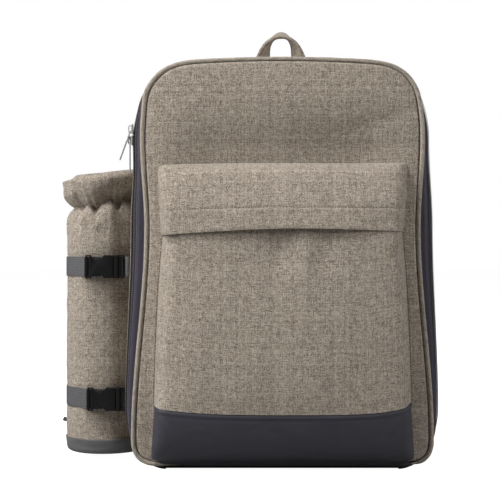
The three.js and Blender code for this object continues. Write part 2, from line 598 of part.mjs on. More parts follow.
for (const { name, z, buckleX } of SLEEVE_STRAPS) {
  const round = SLEEVE_RADIUS + GAP + WEB / 2;
  const arc = Array.from({ length: 12 }, (_, i) => {
    const turn = ((88 + i * 13.6) * Math.PI) / 180;
    return [SLEEVE_X + round * Math.cos(turn), SLEEVE_Y + round * Math.sin(turn)];
  });
  const socketBar = buckleX - 18.65;
  const plugBar = buckleX + 18.25;
  const [sewnX, sewnY] = onGusset(128, z);
  add(`${name}_long_strap`, sleeveStrap([
    onGusset(142, z), onGusset(134, z), [sewnX - 0.4, sewnY + 1.4], [sewnX - 4, sewnY + 3.4], ...arc,
    [socketBar - 3.4, BUCKLE_Y + 4.6], ...barLoop(socketBar, 1), [socketBar - 5, BUCKLE_Y - 1.2],
  ], z), 0x6c6b6d);
  const near = onGusset(44, z);
  add(`${name}_short_strap`, sleeveStrap([
    onGusset(60, z), onGusset(52, z), [near[0] - 0.5, near[1] + 0.6], [near[0] - 2.4, BUCKLE_Y + 2.6],
    ...barLoop(plugBar, -1), [plugBar + 4, BUCKLE_Y - 2.3],
  ], z), 0x6c6b6d);

  const H = BUCKLE_HALF_HEIGHT;
  const T = BUCKLE_THICK / 2;
  const socketFrame = plate(rectangle(-19.5, -15.6, -H, H), BUCKLE_BAR, [rectangle(-17.8, -16.1, -10.4, 10.4)]);
  const socket = join(plate(socketOutline, BUCKLE_THICK), {
    cut: [block(-17, -15.2, -T - 1, T + 1, -10.4, 10.4), block(-12.6, 9, -2.1, 2.1, -9.8, 9.8)],
    add: [plate(rectangle(-19.5, -15.9, 10.4, H), BUCKLE_BAR), plate(rectangle(-19.5, -15.9, -H, -10.4), BUCKLE_BAR),
      block(-19.5, -17.8, -BUCKLE_BAR / 2, BUCKLE_BAR / 2, -H, H)],
  });
  add(`${name}_buckle_socket`, socket.translate(buckleX, BUCKLE_Y, z), 0x1e1f21, 0.45);
  const plug = join(plate(prongOutline, 3.4), {
    add: [block(9, 13.4, -3.6, 3.6, -H, H), block(13, 19.1, -1.2, 1.2, -H, -10.4), block(13, 19.1, -1.2, 1.2, 10.4, H),
      block(17.4, 19.1, -1.2, 1.2, -H, H)],
  });
  add(`${name}_buckle_plug`, plug.translate(buckleX, BUCKLE_Y, z), 0x1e1f21, 0.45);
}

// Handle and shoulder straps
function handleStrip() {
  const right = HANDLE.slice(0, -1).reverse().map((row) => ({ ...row, x: -row.x }));
  const rows = [...HANDLE, ...right];
  return strip(rows.map((row, i) => {
    const a = rows[Math.max(0, i - 1)];
    const b = rows[Math.min(rows.length - 1, i + 1)];
    const outward = V3(-(b.z - a.z), 0, b.x - a.x).normalize();
    const turn = (row.turn * Math.PI) / 180;
    const side = outward.multiplyScalar(Math.cos(turn)).add(V3(0, Math.sin(turn), 0));
    return { at: V3(HANDLE_X + row.x, row.y, row.z), side, width: HANDLE_WIDTH, thick: row.thick };
  }), PADDED);
}
add("handle", handleStrip(), CLOTH);

for (const [name, hand, freeEnd] of [["right", 1, RIGHT_FREE_END], ["left", -1, LEFT_FREE_END]]) {
  const rows = SHOULDER.map(({ x, y, z, width, thick }) => (
    { at: V3(hand * x, y, z), side: V3(1, 0, 0), width, thick }));
  add(`shoulder_strap_${name}`, strip(rows, PADDED), CLOTH);
  const web = SHOULDER_WEB.map(({ x, y, z, side }) => (
    { at: V3(hand * x, y, z), side: V3(side[0], side[1], hand * side[2]) }));
  const end = freeEnd.map(({ x, y, z, side }) => ({ at: V3(x, y, z), side: V3(...side).multiplyScalar(hand) }));
  const size = { width: SHOULDER_WEB_WIDTH, thick: WEB };
  add(`strap_webbing_${name}`, strip([...web, ...end].map((row) => ({ ...row, ...size })), SQUARE), 0x3a3a3d);
  const { x, y, z, width, height, thick } = ADJUSTER;
  const inner = width / 2 - 3;
  const frame = plate(rectangle(-width / 2, width / 2, -height / 2, height / 2), thick,
    [rectangle(-inner, inner, 0.8, height / 2 - 3), rectangle(-inner, inner, -height / 2 + 3, -0.8)]);
  add(`strap_adjuster_${name}`, frame.translate(hand * x, y, z), 0x1e1f21, 0.45);
}

// Zip sliders with their bails, and the pulls that swing on them
for (const { name, z, lean, color } of SLIDERS) {
  const y = FRONT_Y + ZIP_DEPTH;
  const plateX = -(sideX(ZIP_DEPTH, z) + SLIDER.lift);
  const { width, height, plate: wall, bailWidth, bailReach, bailHalf, bailBar } = SLIDER;
  const wing = plate([[0, -height / 2], [0, height / 2], [-wall, height / 2 - 1], [-wall, -height / 2 + 1]], width);
  const bail = plate([[0.2 - wall, -bailHalf], [0.2 - wall, bailHalf], [1.2 - wall - bailReach, bailHalf],
    [-wall - bailReach, bailHalf - 1.4], [-wall - bailReach, 1.4 - bailHalf], [1.2 - wall - bailReach, -bailHalf]], bailWidth,
  [rectangle(bailBar - wall - bailReach, -wall - 0.02, bailBar - bailHalf, bailHalf - bailBar)]);
  add(`${name}_slider`, join(wing, { add: [bail] }).translate(plateX, y, z), color, 0.3, 1);

  const { pinOut, pinDrop, pinHalf, armIn, armOut, armLength, length, thick } = PULL;
  const pull = join(block(-thick / 2, thick / 2, -armOut, armOut, -length, -armLength), {
    add: [block(-pinHalf, pinHalf, -armOut, armOut, -pinHalf, pinHalf),
      block(-thick / 2, thick / 2, armIn, armOut, -armLength - 0.5, pinHalf),
      block(-thick / 2, thick / 2, -armOut, -armIn, -armLength - 0.5, pinHalf)],
    cut: [block(-2, 2, -1.3, 1.3, -length + 2, -length + 7)],
  });
  pull.rotateY((lean * Math.PI) / 180);
  add(`${name}_pull`, pull.translate(plateX - wall - pinOut, y, z - pinDrop), color, 0.3, 1);
}

export default group;
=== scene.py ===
"""Picnic backpack: cloth, webbing, buckles and zip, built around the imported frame."""
import math
from types import SimpleNamespace as Named

import bmesh
import bpy
import numpy as np
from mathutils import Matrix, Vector, noise


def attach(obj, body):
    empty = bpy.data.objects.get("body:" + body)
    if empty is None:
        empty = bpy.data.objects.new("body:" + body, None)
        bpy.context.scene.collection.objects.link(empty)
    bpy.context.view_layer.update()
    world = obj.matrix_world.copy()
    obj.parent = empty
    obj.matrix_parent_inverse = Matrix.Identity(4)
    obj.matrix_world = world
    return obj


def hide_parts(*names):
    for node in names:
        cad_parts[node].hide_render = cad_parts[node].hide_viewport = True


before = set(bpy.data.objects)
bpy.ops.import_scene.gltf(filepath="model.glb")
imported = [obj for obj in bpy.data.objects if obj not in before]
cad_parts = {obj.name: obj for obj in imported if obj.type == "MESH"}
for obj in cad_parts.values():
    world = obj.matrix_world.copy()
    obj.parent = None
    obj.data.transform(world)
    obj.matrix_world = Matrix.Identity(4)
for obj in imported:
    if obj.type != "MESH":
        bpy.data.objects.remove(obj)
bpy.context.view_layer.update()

MM = 0.001


def columns(names, *rows):
    """A short table: one array for each named column."""
    return dict(zip(names.split(), np.array(rows, float).T))


# Body: half widths and heights at each depth behind the front piping, in millimetres
BODY = columns(
    "depth hip waist chest base crown foot hip_z rise reach",
    (0, 143.8, 130.8, 135.2, 7.3, 397.7, 118.6, 31, 0.88, 0.6),
    (3, 145, 133.6, 136.2, 4.6, 398.2, 115.6, 34, 0.86, 0.6),
    (10, 148.8, 141, 139.2, 2, 399.8, 113, 50, 0.68, 0.65),
    (20, 152, 146.4, 143.1, 0, 400.8, 111, 60, 0.58, 0.66),
    (31, 153, 148, 144.4, 0, 401.2, 111, 60, 0.58, 0.66),
    (62, 144.5, 142.5, 142, 0, 401.2, 106, 58, 0.62, 0.67),
    (92, 137.5, 136.5, 136, 0, 400.4, 106, 58, 0.68, 0.69),
    (125, 133.5, 132, 131.5, 0, 397.6, 106, 58, 0.69, 0.69),
    (147, 130.5, 128.6, 128, 3.6, 393.4, 106, 58, 0.69, 0.69),
)
FRONT_Y = -75
WAIST_Z, CHEST_Z, MIDDLE_Z = 236, 321, 200
SHOULDER_X = 78
CROWN_DROP = 2.2
CORNER_FULLNESS, REAR_FOOT_LIFT = 0.69, 0.32
FINE = 5
OUTLINE_STEPS = [n * FINE for n in (3, 5, 5, 3, 6, 4)]
FOOT_STATION = OUTLINE_STEPS[0]
STATIONS = 2 * sum(OUTLINE_STEPS)
PIPING_RADIUS = 2.25
ZIP_DEPTH = 20.6
BACK_FACE_Y = 78.5

# Front pocket and its flap by height
POCKET = columns(
    "z seam face deep swell round",
    (7.2, 126.5, 125.3, 2.6, 0, 1.5),
    (10, 126.5, 125, 3.8, 0, 2),
    (15, 126.4, 124.8, 15, 0.5, 9),
    (22, 126, 124, 22, 2, 12),
    (36, 125, 122, 28.4, 4, 13),
    (58, 123.8, 120, 32, 6, 12),
    (90, 122.8, 118.6, 32.6, 7.4, 12),
    (138, 121, 116.6, 31.4, 6.6, 12),
    (187, 118.4, 112, 30, 4.4, 11),
    (226, 115.2, 106.6, 29.6, 1, 9),
    (240, 114.4, 105.6, 28.2, 0, 9),
    (256, 113.6, 104.6, 25.4, -1.4, 8),
)
FLAP = columns(
    "z seam face deep swell round",
    (232, 116.8, 110.2, 35, 0.4, 8),
    (247, 117.8, 111.4, 31.7, 0.8, 9),
    (262, 118.8, 112.8, 28, 1, 10),
    (276, 119.6, 114, 24.2, 1, 11),
    (287, 120, 114.4, 20.4, 0.8, 11),
    (293.5, 119.8, 114.2, 16.4, 0.4, 9),
    (296.6, 118.4, 112.4, 11, 0, 5),
    (297.6, 115.8, 109.8, 2.8, 0, 1.5),
)
FLAP_LIFT = columns("z share", (232, 1), (240, 0.75), (250, 0.5), (262, 0.25), (276, 0), (300, 0))
MOUTH_Z = 256
HEM_Z = 253

# Bottle sleeve
SLEEVE_X, SLEEVE_Y, SLEEVE_RADIUS = -180, 15, 41
SLEEVE_PRESSED_AT = 36.6
COLLAR = columns(
    "step radius z pleat",
    (0, 30.6, 257.3, 1.8),
    (1, 36.6, 262, 2.2),
    (2, 41, 270, 1.9),
    (3, 43.8, 278, 1.4),
    (4, 44.4, 285.4, 1.1),
    (5, 39.6, 290.4, 1.4),
    (6, 30, 292, 1.8),
    (7, 20, 289.4, 1.6),
)
STRAP_Z = {"upper": 197, "lower": 64.5}
BUCKLE_X = {"upper": -176.4, "lower": -174.4}
BUCKLE_Y = -31.9
SLEEVE_STRAP_WIDTH = 20
WEB = 1.2
GAP = 0.3

HANDLE_X = 2.8
# Middle line of the handle, the turn of its face in degrees and its thickness
HANDLE = (
    (-22.4, 80.2, 378, 0, 3),
    (-22.4, 80, 394, 0, 3),
    (-21.8, 79.8, 408, -25, 3.4),
    (-19.6, 78.4, 423.5, -48, 4),
    (-15.2, 77.4, 436.6, -76, 4.6),
    (-7.8, 76.8, 444.6, -100, 4.8),
    (0, 76.6, 447.4, -112, 4.8),
    (7.4, 76.8, 444.6, -100, 4.8),
    (14.2, 77.4, 436.6, -76, 4.6),
    (18.4, 78.4, 423.5, -48, 4),
    (21, 79.8, 408, -25, 3.4),
    (22.4, 80, 394, 0, 3),
    (22.4, 80.2, 378, 0, 3),
)
# Middle line, width and thickness of the right shoulder strap
SHOULDER = (
    (38, 81.6, 373, 46, 5.4),
    (40, 85.6, 356, 55, 9),
    (44, 97, 320, 60, 11),
    (49, 107, 275, 60, 11),
    (56, 110.5, 222, 58, 11),
    (66, 106.5, 170, 52, 10),
    (78, 98, 130, 42, 8),
    (83, 91.4, 107.6, 28, 4.2),
)
# Webbing of the right strap, then each strap's free end: place, and the direction of its width
SHOULDER_WEB = [
    (107, 79.5, 30, 1, 0, 0.3), (104, 79.7, 42, 1, 0, 0.28), (94, 84.6, 68, 1, 0, 0.24),
    (85.5, 88, 86, 1, 0, 0.06), (84, 88.6, 92.4, 1, 0, 0), (84, 89.2, 94.4, 1, 0, 0),
    (84, 91, 95.5, 1, 0, 0), (84, 92.8, 94.4, 1, 0, 0), (84, 93.4, 92.4, 1, 0, 0),
]
RIGHT_FREE_END = [
    (84.6, 95.4, 78, 1, 0, 0), (87, 98, 54, 1, 0, 0.06), (90, 99, 30, 1, 0, 0.1), (91.6, 98.6, 16, 1, 0, 0.1),
]
LEFT_FREE_END = [
    (-86, 95.4, 82, -1, 0.1, 0.1), (-98, 99.5, 64, -0.75, 0.45, 0.45), (-130, 100, 46, -0.3, 0.95, 0.3),
    (-170, 97, 34, 0, 1, 0), (-206, 94, 28, 0, 1, 0), (-229, 92, 26.4, 0, 1, 0), (-237, 91.4, 28, 0, 1, 0),
]
SHOULDER_WEB_WIDTH = 22


def read(table, key, at, value):
    """A column of a table at any value of its key, on a smooth curve through the rows."""
    keys, values = table[key], table[at]
    value = np.asarray(value, float)
    rows = np.arange(len(keys))
    below, above = np.maximum(rows - 1, 0), np.minimum(rows + 1, len(keys) - 1)
    slope = (values[above] - values[below]) / (keys[above] - keys[below])
    i = np.clip(np.searchsorted(keys, value, side="right") - 1, 0, len(keys) - 2)
    span, rise = keys[i + 1] - keys[i], values[i + 1] - values[i]
    t = (value - keys[i]) / span
    first, last = slope[i] * span, slope[i + 1] * span
    return values[i] + t * (first + t * (3 * rise - 2 * first - last + t * (first + last - 2 * rise)))


def spline(points, per_span):
    """A smooth run through points, or rows of numbers, with even steps in each span."""
    points = np.asarray(points, float)
    steps = np.arange(len(points))
    table = {"step": steps.astype(float), **{str(c): points[:, c] for c in range(points.shape[1])}}
    at = np.linspace(0, len(points) - 1, per_span * (len(points) - 1) + 1)
    return np.stack([read(table, "step", str(c), at) for c in range(points.shape[1])], axis=1)


def bezier(points, t):
    points = [np.ones((len(t), 1)) * np.array(p, float) for p in points]
    while len(points) > 1:
        points = [a + (b - a) * t[:, None] for a, b in zip(points, points[1:])]
    return points[0]


def unit(vectors):
    return vectors / np.maximum(np.linalg.norm(vectors, axis=-1, keepdims=True), 1e-9)


def hill(value, centre, spread):
    return np.exp(-(((value - centre) / spread) ** 2))


def smooth(value, low, high):
    t = np.clip((value - low) / (high - low), 0, 1)
    return t * t * (3 - 2 * t)


def relief(points, size, seed):
    """Smooth random relief, about -1 to 1, with swells of that size in millimetres."""
    shift = Vector((seed * 17.3, seed * 5.1, seed * 9.7))
    flat = np.asarray(points, float).reshape(-1, 3) / size
    return np.array([noise.noise(Vector(p) + shift) for p in flat]).reshape(np.shape(points)[:-1])


def closed(grid):
    """A ring of columns with its first column again at its end."""
    return np.concatenate([grid, grid[:, :1]], axis=1)


def grid_normals(grid, loop=False):
    if loop:
        across = np.roll(grid, -1, axis=1) - np.roll(grid, 1, axis=1)
    else:
        across = np.gradient(grid, axis=1)
    return unit(np.cross(across, np.gradient(grid, axis=0)))


def puffed(grid, rise, loop=False):
    """The grid moved out along its normals."""
    return grid + grid_normals(grid, loop) * rise[..., None]


def steps(*spans):
    """Even steps in each span: first, last and count."""
    return np.concatenate([np.linspace(*span) for span in spans])


def arc_uv(grid, loop=False):
    """Lengths along the cloth, across and up, in metres."""
    ring = closed(grid) if loop else grid
    across = np.linalg.norm(np.diff(ring, axis=1), axis=2)
    up = np.linalg.norm(np.diff(ring, axis=0), axis=2)
    u = np.concatenate([np.zeros((len(ring), 1)), np.cumsum(across, axis=1)], axis=1)
    v = np.concatenate([np.zeros((1, ring.shape[1])), np.cumsum(up, axis=0)], axis=0)
    u -= u[:, ring.shape[1] // 2:ring.shape[1] // 2 + 1]
    return np.dstack([u, v]) * MM


def surface(name, grid, wall=0, loop=False, caps=False, uv=None, crease=50):
    """An object from a grid of points in millimetres; wall is the cloth's thickness, behind the grid."""
    rows, cols = grid.shape[:2]
    uv = arc_uv(grid, loop) if uv is None else uv
    points = grid.reshape(-1, 3)
    faces, corners = [], []

    def add(ids, marks, turn):
        ids, marks = np.stack(ids, axis=-1).reshape(-1, 4), np.stack(marks, axis=-2).reshape(-1, 4, 2)
        faces.append(ids[:, ::-1] if turn else ids)
        corners.append(marks[:, ::-1] if turn else marks)

    def quads(i, j, layers, turn):
        cells = [(0, 0), (0, 1), (1, 1), (1, 0)]
        add([layers * rows * cols + (i + a) * cols + (j + b) % cols for a, b in cells],
            [uv[i + a, j + b] for a, b in cells], turn)

    def rim(outer, marks, turn):
        inner = outer + rows * cols
        add([outer[:-1], outer[1:], inner[1:], inner[:-1]],
            [marks[:-1], marks[1:], marks[1:], marks[:-1]], turn)

    i, j = np.meshgrid(np.arange(rows - 1), np.arange(cols if loop else cols - 1), indexing="ij")
    quads(i, j, 0, False)
    if wall:
        points = np.vstack([points, (grid - wall * grid_normals(grid, loop)).reshape(-1, 3)])
        quads(i, j, 1, True)
        step = np.arange(cols + 1 if loop else cols)
        rim(step % cols, uv[0, step], True)
        rim((rows - 1) * cols + step % cols, uv[-1, step], False)
        if not loop:
            side = np.arange(rows)
            rim(side * cols, uv[:, 0], False)
            rim(side * cols + cols - 1, uv[:, -1], True)
    faces, corners = np.vstack(faces).tolist(), np.vstack(corners).reshape(-1, 2)
    if caps:
        faces += [list(range(cols))[::-1], [(rows - 1) * cols + n for n in range(cols)]]
        corners = np.vstack([corners, uv[0, :cols][::-1], uv[-1, :cols]])
    mesh = bpy.data.meshes.new(name)
    mesh.from_pydata((points * MM).tolist(), [], faces)
    mesh.uv_layers.new(name="cloth").data.foreach_set("uv", corners.astype(np.float32).ravel())
    return settle(name, mesh, crease)


PAD_PRESSURE, PAD_FRAMES = 4, 20


def swelled(grid, reach, sewn=None):
    """The grid of a pad after air has filled it as cloth.

    sewn says how firmly each point is held, and no point moves farther than reach.
    """
    blank = surface("pad_blank", grid, loop=True, caps=sewn is None)
    air = blank.modifiers.new("air", "CLOTH").settings
    air.use_pressure, air.uniform_pressure_force, air.effector_weights.gravity = True, PAD_PRESSURE, 0
    if sewn is not None:
        held = blank.vertex_groups.new(name="sewn")
        for point, weight in enumerate(np.ravel(sewn).tolist()):
            held.add([point], weight, "REPLACE")
        air.vertex_group_mass = held.name
    for step in range(PAD_FRAMES):
        bpy.context.scene.frame_set(step + 1)
    filled = evaluated(blank).data
    places = np.empty(grid.size, np.float32)
    filled.vertices.foreach_get("co", places)
    bpy.context.scene.frame_set(1)
    bpy.data.meshes.remove(blank.data)
    move = places.reshape(grid.shape) / MM - grid
    far = np.linalg.norm(move, axis=-1, keepdims=True)
    return grid + move * np.minimum(1, reach / np.maximum(far, 1e-9))


def cut_size(grid, loop=False):
    """Width, length and area, in metres, of the flat cloth that a grid was cut from."""
    uv = arc_uv(grid, loop)
    ring = closed(grid) if loop else grid
    cells = np.cross(ring[1:, 1:] - ring[:-1, :-1], ring[1:, :-1] - ring[:-1, 1:])
    width, length = np.ptp(uv[..., 0], axis=1).max(), uv[-1, :, 1].max()
    return (width, length), np.linalg.norm(cells, axis=-1).sum() / 2 * MM * MM


def link(name, data):
    """A new object in the scene."""
    made = bpy.data.objects.new(name, data)
    bpy.context.scene.collection.objects.link(made)
    return made


def evaluated(piece):
    return piece.evaluated_get(bpy.context.evaluated_depsgraph_get())


def baked(blank):
    """The mesh that an object's modifiers make; the object itself goes."""
    mesh = bpy.data.meshes.new_from_object(evaluated(blank))
    bpy.data.objects.remove(blank)
    return mesh


def settle(name, mesh, crease=50):
    """Merges what meets, smooths the shading up to a crease and links the object."""
    shape = bmesh.new()
    shape.from_mesh(mesh)
    bmesh.ops.remove_doubles(shape, verts=shape.verts, dist=2e-6)
    bmesh.ops.dissolve_degenerate(shape, edges=shape.edges, dist=2e-6)
    shape.to_mesh(mesh)
    shape.free()
    mesh.shade_smooth()
    mesh.set_sharp_from_angle(angle=math.radians(crease))
    return link(name, mesh)


def sew(piece, finish, *nodes, body="bag"):
    """Gives a piece its finish and its place on a body, and hides the CAD nodes that it stands for."""
    piece.data.materials.clear()
    piece.data.materials.append(finish.material)
    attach(piece, body)
    if nodes:
        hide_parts(*nodes)
    return piece


def add_node(tree, kind, settings=None, sockets=None):
    """A node with its settings; a socket takes another node's output or a plain value."""
    made = tree.nodes.new(kind)
    for key, value in (settings or {}).items():
        setattr(made, key, value)
    for key, value in (sockets or {}).items():
        if isinstance(value, bpy.types.NodeSocket):
            tree.links.new(value, made.inputs[key])
        else:
            made.inputs[key].default_value = value
    return made.outputs


class Value:
    """A socket in a finish; sums and products on it add Math nodes."""

    def __init__(self, tree, socket):
        self.tree, self.socket = tree, socket

    def maths(self, operation, *terms):
        return self.tree.node("Math", {"operation": operation}, dict(enumerate(terms)))

    def __add__(self, other):
        return self.maths("ADD", self, other)

    def __sub__(self, other):
        return self.maths("SUBTRACT", self, other)

    def __rsub__(self, other):
        return self.maths("SUBTRACT", other, self)

    def __mul__(self, other):
        return self.maths("MULTIPLY", self, other)

    __radd__, __rmul__ = __add__, __mul__


class Finish:
    """The nodes of one material."""

    def __init__(self, name, slot=None):
        self.slot = slot
        self.material = bpy.data.materials.new(name)
        self.material.use_nodes = True
        self.tree = self.material.node_tree
        self.tree.nodes.clear()

    def node(self, kind, settings=None, sockets=None, output=0):
        sockets = {key: getattr(value, "socket", value) for key, value in (sockets or {}).items()}
        outputs = add_node(self.tree, "ShaderNode" + kind, settings, sockets)
        return Value(self, outputs[output]) if outputs else None

    def cloth_uv(self):
        return self.node("UVMap", {"uv_map": "cloth"})

    def place(self):
        return self.node("TexCoord", output=3)

    def cloud(self, where, size, detail=2.0, rough=0.55, flat=True):
        """Noise whose spots have that size in millimetres."""
        size = (size,) * 3 if np.isscalar(size) else (*size, 1)[:3]
        scale = [1 / (s * MM) for s in size]
        scaled = self.node("Mapping", None, {"Vector": where, "Scale": scale})
        return self.node("TexNoise", {"noise_dimensions": "2D" if flat else "3D"},
                         {"Vector": scaled, "Scale": 1.0, "Detail": detail, "Roughness": rough})

    def ridge(self, height, low=0.6, high=0.74):
        """0 below a height and 1 above another: only the tops of a noise."""
        return self.node("MapRange", {"interpolation_type": "SMOOTHSTEP"},
                         {"Value": height, "From Min": low, "From Max": high})

    def ribs(self, where, axis, pitch):
        """Even ribs, 0 to 1, across one axis of the place."""
        part = self.node("SeparateXYZ", None, {0: where}, output=axis)
        turn = part * (2 * math.pi / (pitch * MM))
        return turn.maths("SINE", turn) * 0.5 + 0.5

    def weave(self, where, pitch, run, streaks=1.05, threads=0.28, grains=0.5):
        """Plain weave: the tone of the thread on top, and the height of the cloth.

        The tone changes along each thread, from thread to thread and from crossing to crossing.
        """
        across, along = (self.node("SeparateXYZ", None, {0: where}, output=n) for n in (0, 1))
        tones, heights, numbers = [], [], []
        for side, length in ((across, along), (along, across)):
            at = side * (1 / (pitch * MM))
            number = at.maths("FLOOR", at)
            luck = self.node("TexWhiteNoise", {"noise_dimensions": "1D"}, {"W": number + 0.37})
            place = length * (1 / (run * MM)) + luck * 60
            row = self.node("CombineXYZ", None, {0: place, 1: number * 3.7})
            streak = self.node("TexNoise", {"noise_dimensions": "2D"},
                               {"Vector": row, "Scale": 1.0, "Detail": 1.0, "Roughness": 0.6})
            tones.append((streak - 0.5) * streaks + luck * threads + 0.36)
            heights.append(at.maths("SINE", (at - number) * math.pi))
            numbers.append(number)
        over = (numbers[0] + numbers[1]) * 0.5
        over = over.maths("FRACT", over) * 2
        cell = self.node("CombineXYZ", None, {0: numbers[0] + 0.37, 1: numbers[1] + 0.37})
        grain = self.node("TexWhiteNoise", {"noise_dimensions": "2D"}, {"Vector": cell}) - 0.5
        tone, height = (pair[0] * over + pair[1] * (1 - over) for pair in (tones, heights))
        return tone + grain * grains, height

    def blend(self, share, low, high):
        return self.node("Mix", {"data_type": "RGBA", "clamp_factor": True},
                         {0: share, 6: (*low, 1), 7: (*high, 1)}, output=2)

    def bump(self, height, depth, strength):
        return self.node("Bump", None,
                         {"Height": height, "Distance": depth * MM, "Strength": strength})

    def shade(self, tone, dark, light, **sockets):
        return self.done(base_color=self.blend(tone, srgb(*dark), srgb(*light)), **sockets)

    def done(self, **sockets):
        named = {key.replace("_", " ").title().replace("Ior", "IOR"): sockets[key] for key in sockets}
        shader = self.node("BsdfPrincipled", None, named)
        self.node("OutputMaterial", None, {"Surface": shader})
        return self


def srgb(*levels):
    """A photo-like 0 to 255 colour as linear light."""
    return tuple(((c / 255 + 0.055) / 1.055) ** 2.4 if c > 10 else c / 255 / 12.92 for c in levels)


def heathered(name, slot, dark, light):
    finish = Finish(name, slot)
    uv = finish.cloth_uv()
    tone, height = finish.weave(uv, 0.8, 6)
    upright, level = (finish.ridge(finish.cloud(uv, size, 1.0)) for size in ((0.8, 11), (11, 0.8)))
    slub = upright + level
    broad = finish.cloud(uv, (30, 22), 3.0)
    tone = (tone - 0.5) * 1.1 + slub * 0.3 + broad * 0.06 + 0.43
    return finish.shade(tone, dark, light, roughness=0.94 - 0.1 * height, specular_ior_level=0.2,
                        sheen_weight=0.12, sheen_roughness=0.5, normal=finish.bump(height, 0.22, 0.5))


def webbing(name, slot, dark, light):
    finish = Finish(name, slot)
    uv = finish.cloth_uv()
    across, along = finish.ribs(uv, 0, 1.7), finish.ribs(uv, 1, 1.15)
    fuzz = finish.cloud(uv, (0.9, 2.4), 2.0)
    tone = across * 0.35 + along * 0.2 + fuzz * 0.9 - 0.25
    height = across * 0.7 + along * 0.5 + fuzz * 0.3
    return finish.shade(tone, dark, light, roughness=0.75 - 0.15 * fuzz, specular_ior_level=0.3,
                        normal=finish.bump(height, 0.35, 0.6))


def coated(name, slot, dark, light):
    finish = Finish(name, slot)
    uv = finish.cloth_uv()
    scaled = finish.node("Mapping", None, {"Vector": uv, "Scale": (900, 900, 1)})
    grain = finish.node("TexVoronoi", {"voronoi_dimensions": "2D", "feature": "SMOOTH_F1"},
                        {"Vector": scaled, "Scale": 1.0, "Smoothness": 0.6})
    mottle = finish.cloud(uv, (26, 9), 3.0)
    fine = finish.cloud(uv, (1.2, 1.2), 1.0)
    tone = mottle * 0.8 + fine * 0.35 - 0.08
    return finish.shade(tone, dark, light, roughness=0.5 + 0.18 * mottle, specular_ior_level=0.32,
                        normal=finish.bump(grain + mottle * 0.6, 0.25, 0.35))


def woven(name, slot, dark, light, size, rough=0.8, sheen=0.0):
    finish = Finish(name, slot)
    uv = finish.cloth_uv()
    threads = finish.cloud(uv, (size, size * 5), 1.5) + finish.cloud(uv, (size * 5, size), 1.5) - 0.5
    broad = finish.cloud(uv, (22, 22), 2.0)
    tone = threads * 0.8 + broad * 0.5 - 0.15
    return finish.shade(tone, dark, light, roughness=rough - 0.1 * broad, specular_ior_level=0.3,
                        sheen_weight=sheen, sheen_roughness=0.4, normal=finish.bump(threads, 0.3, 0.5))


def moulded(name, slot, dark, light):
    finish = Finish(name, slot)
    here = finish.place()
    pebble = finish.cloud(here, 0.6, 1.5, flat=False)
    wear = finish.cloud(here, 9, 3.0, flat=False)
    return finish.shade(wear, dark, light, roughness=0.36 + 0.2 * wear, specular_ior_level=0.24,
                        normal=finish.bump(pebble, 0.06, 0.4))


def plated(name, slot, dark, light):
    finish = Finish(name, slot)
    here = finish.place()
    brushed = finish.cloud(here, 1.4, 3.0, flat=False)
    return finish.shade(brushed, dark, light, metallic=0.35, roughness=0.2 + 0.2 * brushed,
                        normal=finish.bump(brushed, 0.05, 0.3))


beige_cloth = heathered("heathered beige cloth", "beige_cloth", (95, 83, 74), (189, 178, 163))
# The piping is the beige cloth painted lighter: a painted highlight for the light along the cord.
piping_cloth_painted_lighter = heathered("beige piping cloth with painted highlight", "beige_cloth", (108, 99, 89), (191, 181, 167))
violet_strip = woven("violet strip", "violet_strip", (37, 33, 44), (67, 61, 76), 0.7, 0.5, 0.25)
zip_tape = woven("zip tape", "zip_tape", (17, 16, 18), (42, 40, 45), 0.8, 0.85)
zip_coil = moulded("zip coil", "zip_coil", (26, 25, 28), (58, 56, 60))
leather_look = coated("dark coated cloth", "leather_look", (50, 49, 56), (68, 67, 75))
sleeve_foot = coated("grey coated cloth", "leather_look", (80, 79, 81), (104, 103, 104))
black_base = woven("black base cloth", "black_base", (20, 20, 22), (46, 45, 49), 1.0)
grey_webbing = webbing("grey webbing", "grey_webbing", (62, 61, 63), (109, 108, 110))
# The grey webbing painted darker: painted shade for the webbing end that lies inside the plug's window.
webbing_painted_in_shade = webbing("grey webbing with painted shade", "grey_webbing", (44, 46, 43), (82, 84, 78))
dark_webbing = webbing("dark webbing", "dark_webbing", (34, 33, 35), (76, 75, 78))
buckle_plastic = moulded("black buckle plastic", "buckle_plastic", (10, 10, 11), (24, 24, 26))
# The prongs are the black buckle plastic painted lighter grey: a painted highlight where they show in the
# socket's cut-out.
prong_plastic_painted_highlight = moulded("buckle prongs with painted highlight", "buckle_plastic", (44, 44, 45), (70, 70, 70))
zip_metal = plated("nickel plate", "zip_metal", (160, 160, 158), (232, 232, 230))
# The thread is the beige cloth painted darker, so the stitch lines also carry the painted shade of their seam
# grooves.
thread = woven("sewing thread with painted seam shade", "beige_cloth", (70, 60, 51), (112, 100, 88), 0.4)
tape_thread = woven("grey tape thread", "zip_tape", (92, 88, 94), (148, 144, 150), 0.4)


BEAD_SIZES = ("Step", "Length", "Width", "Height")


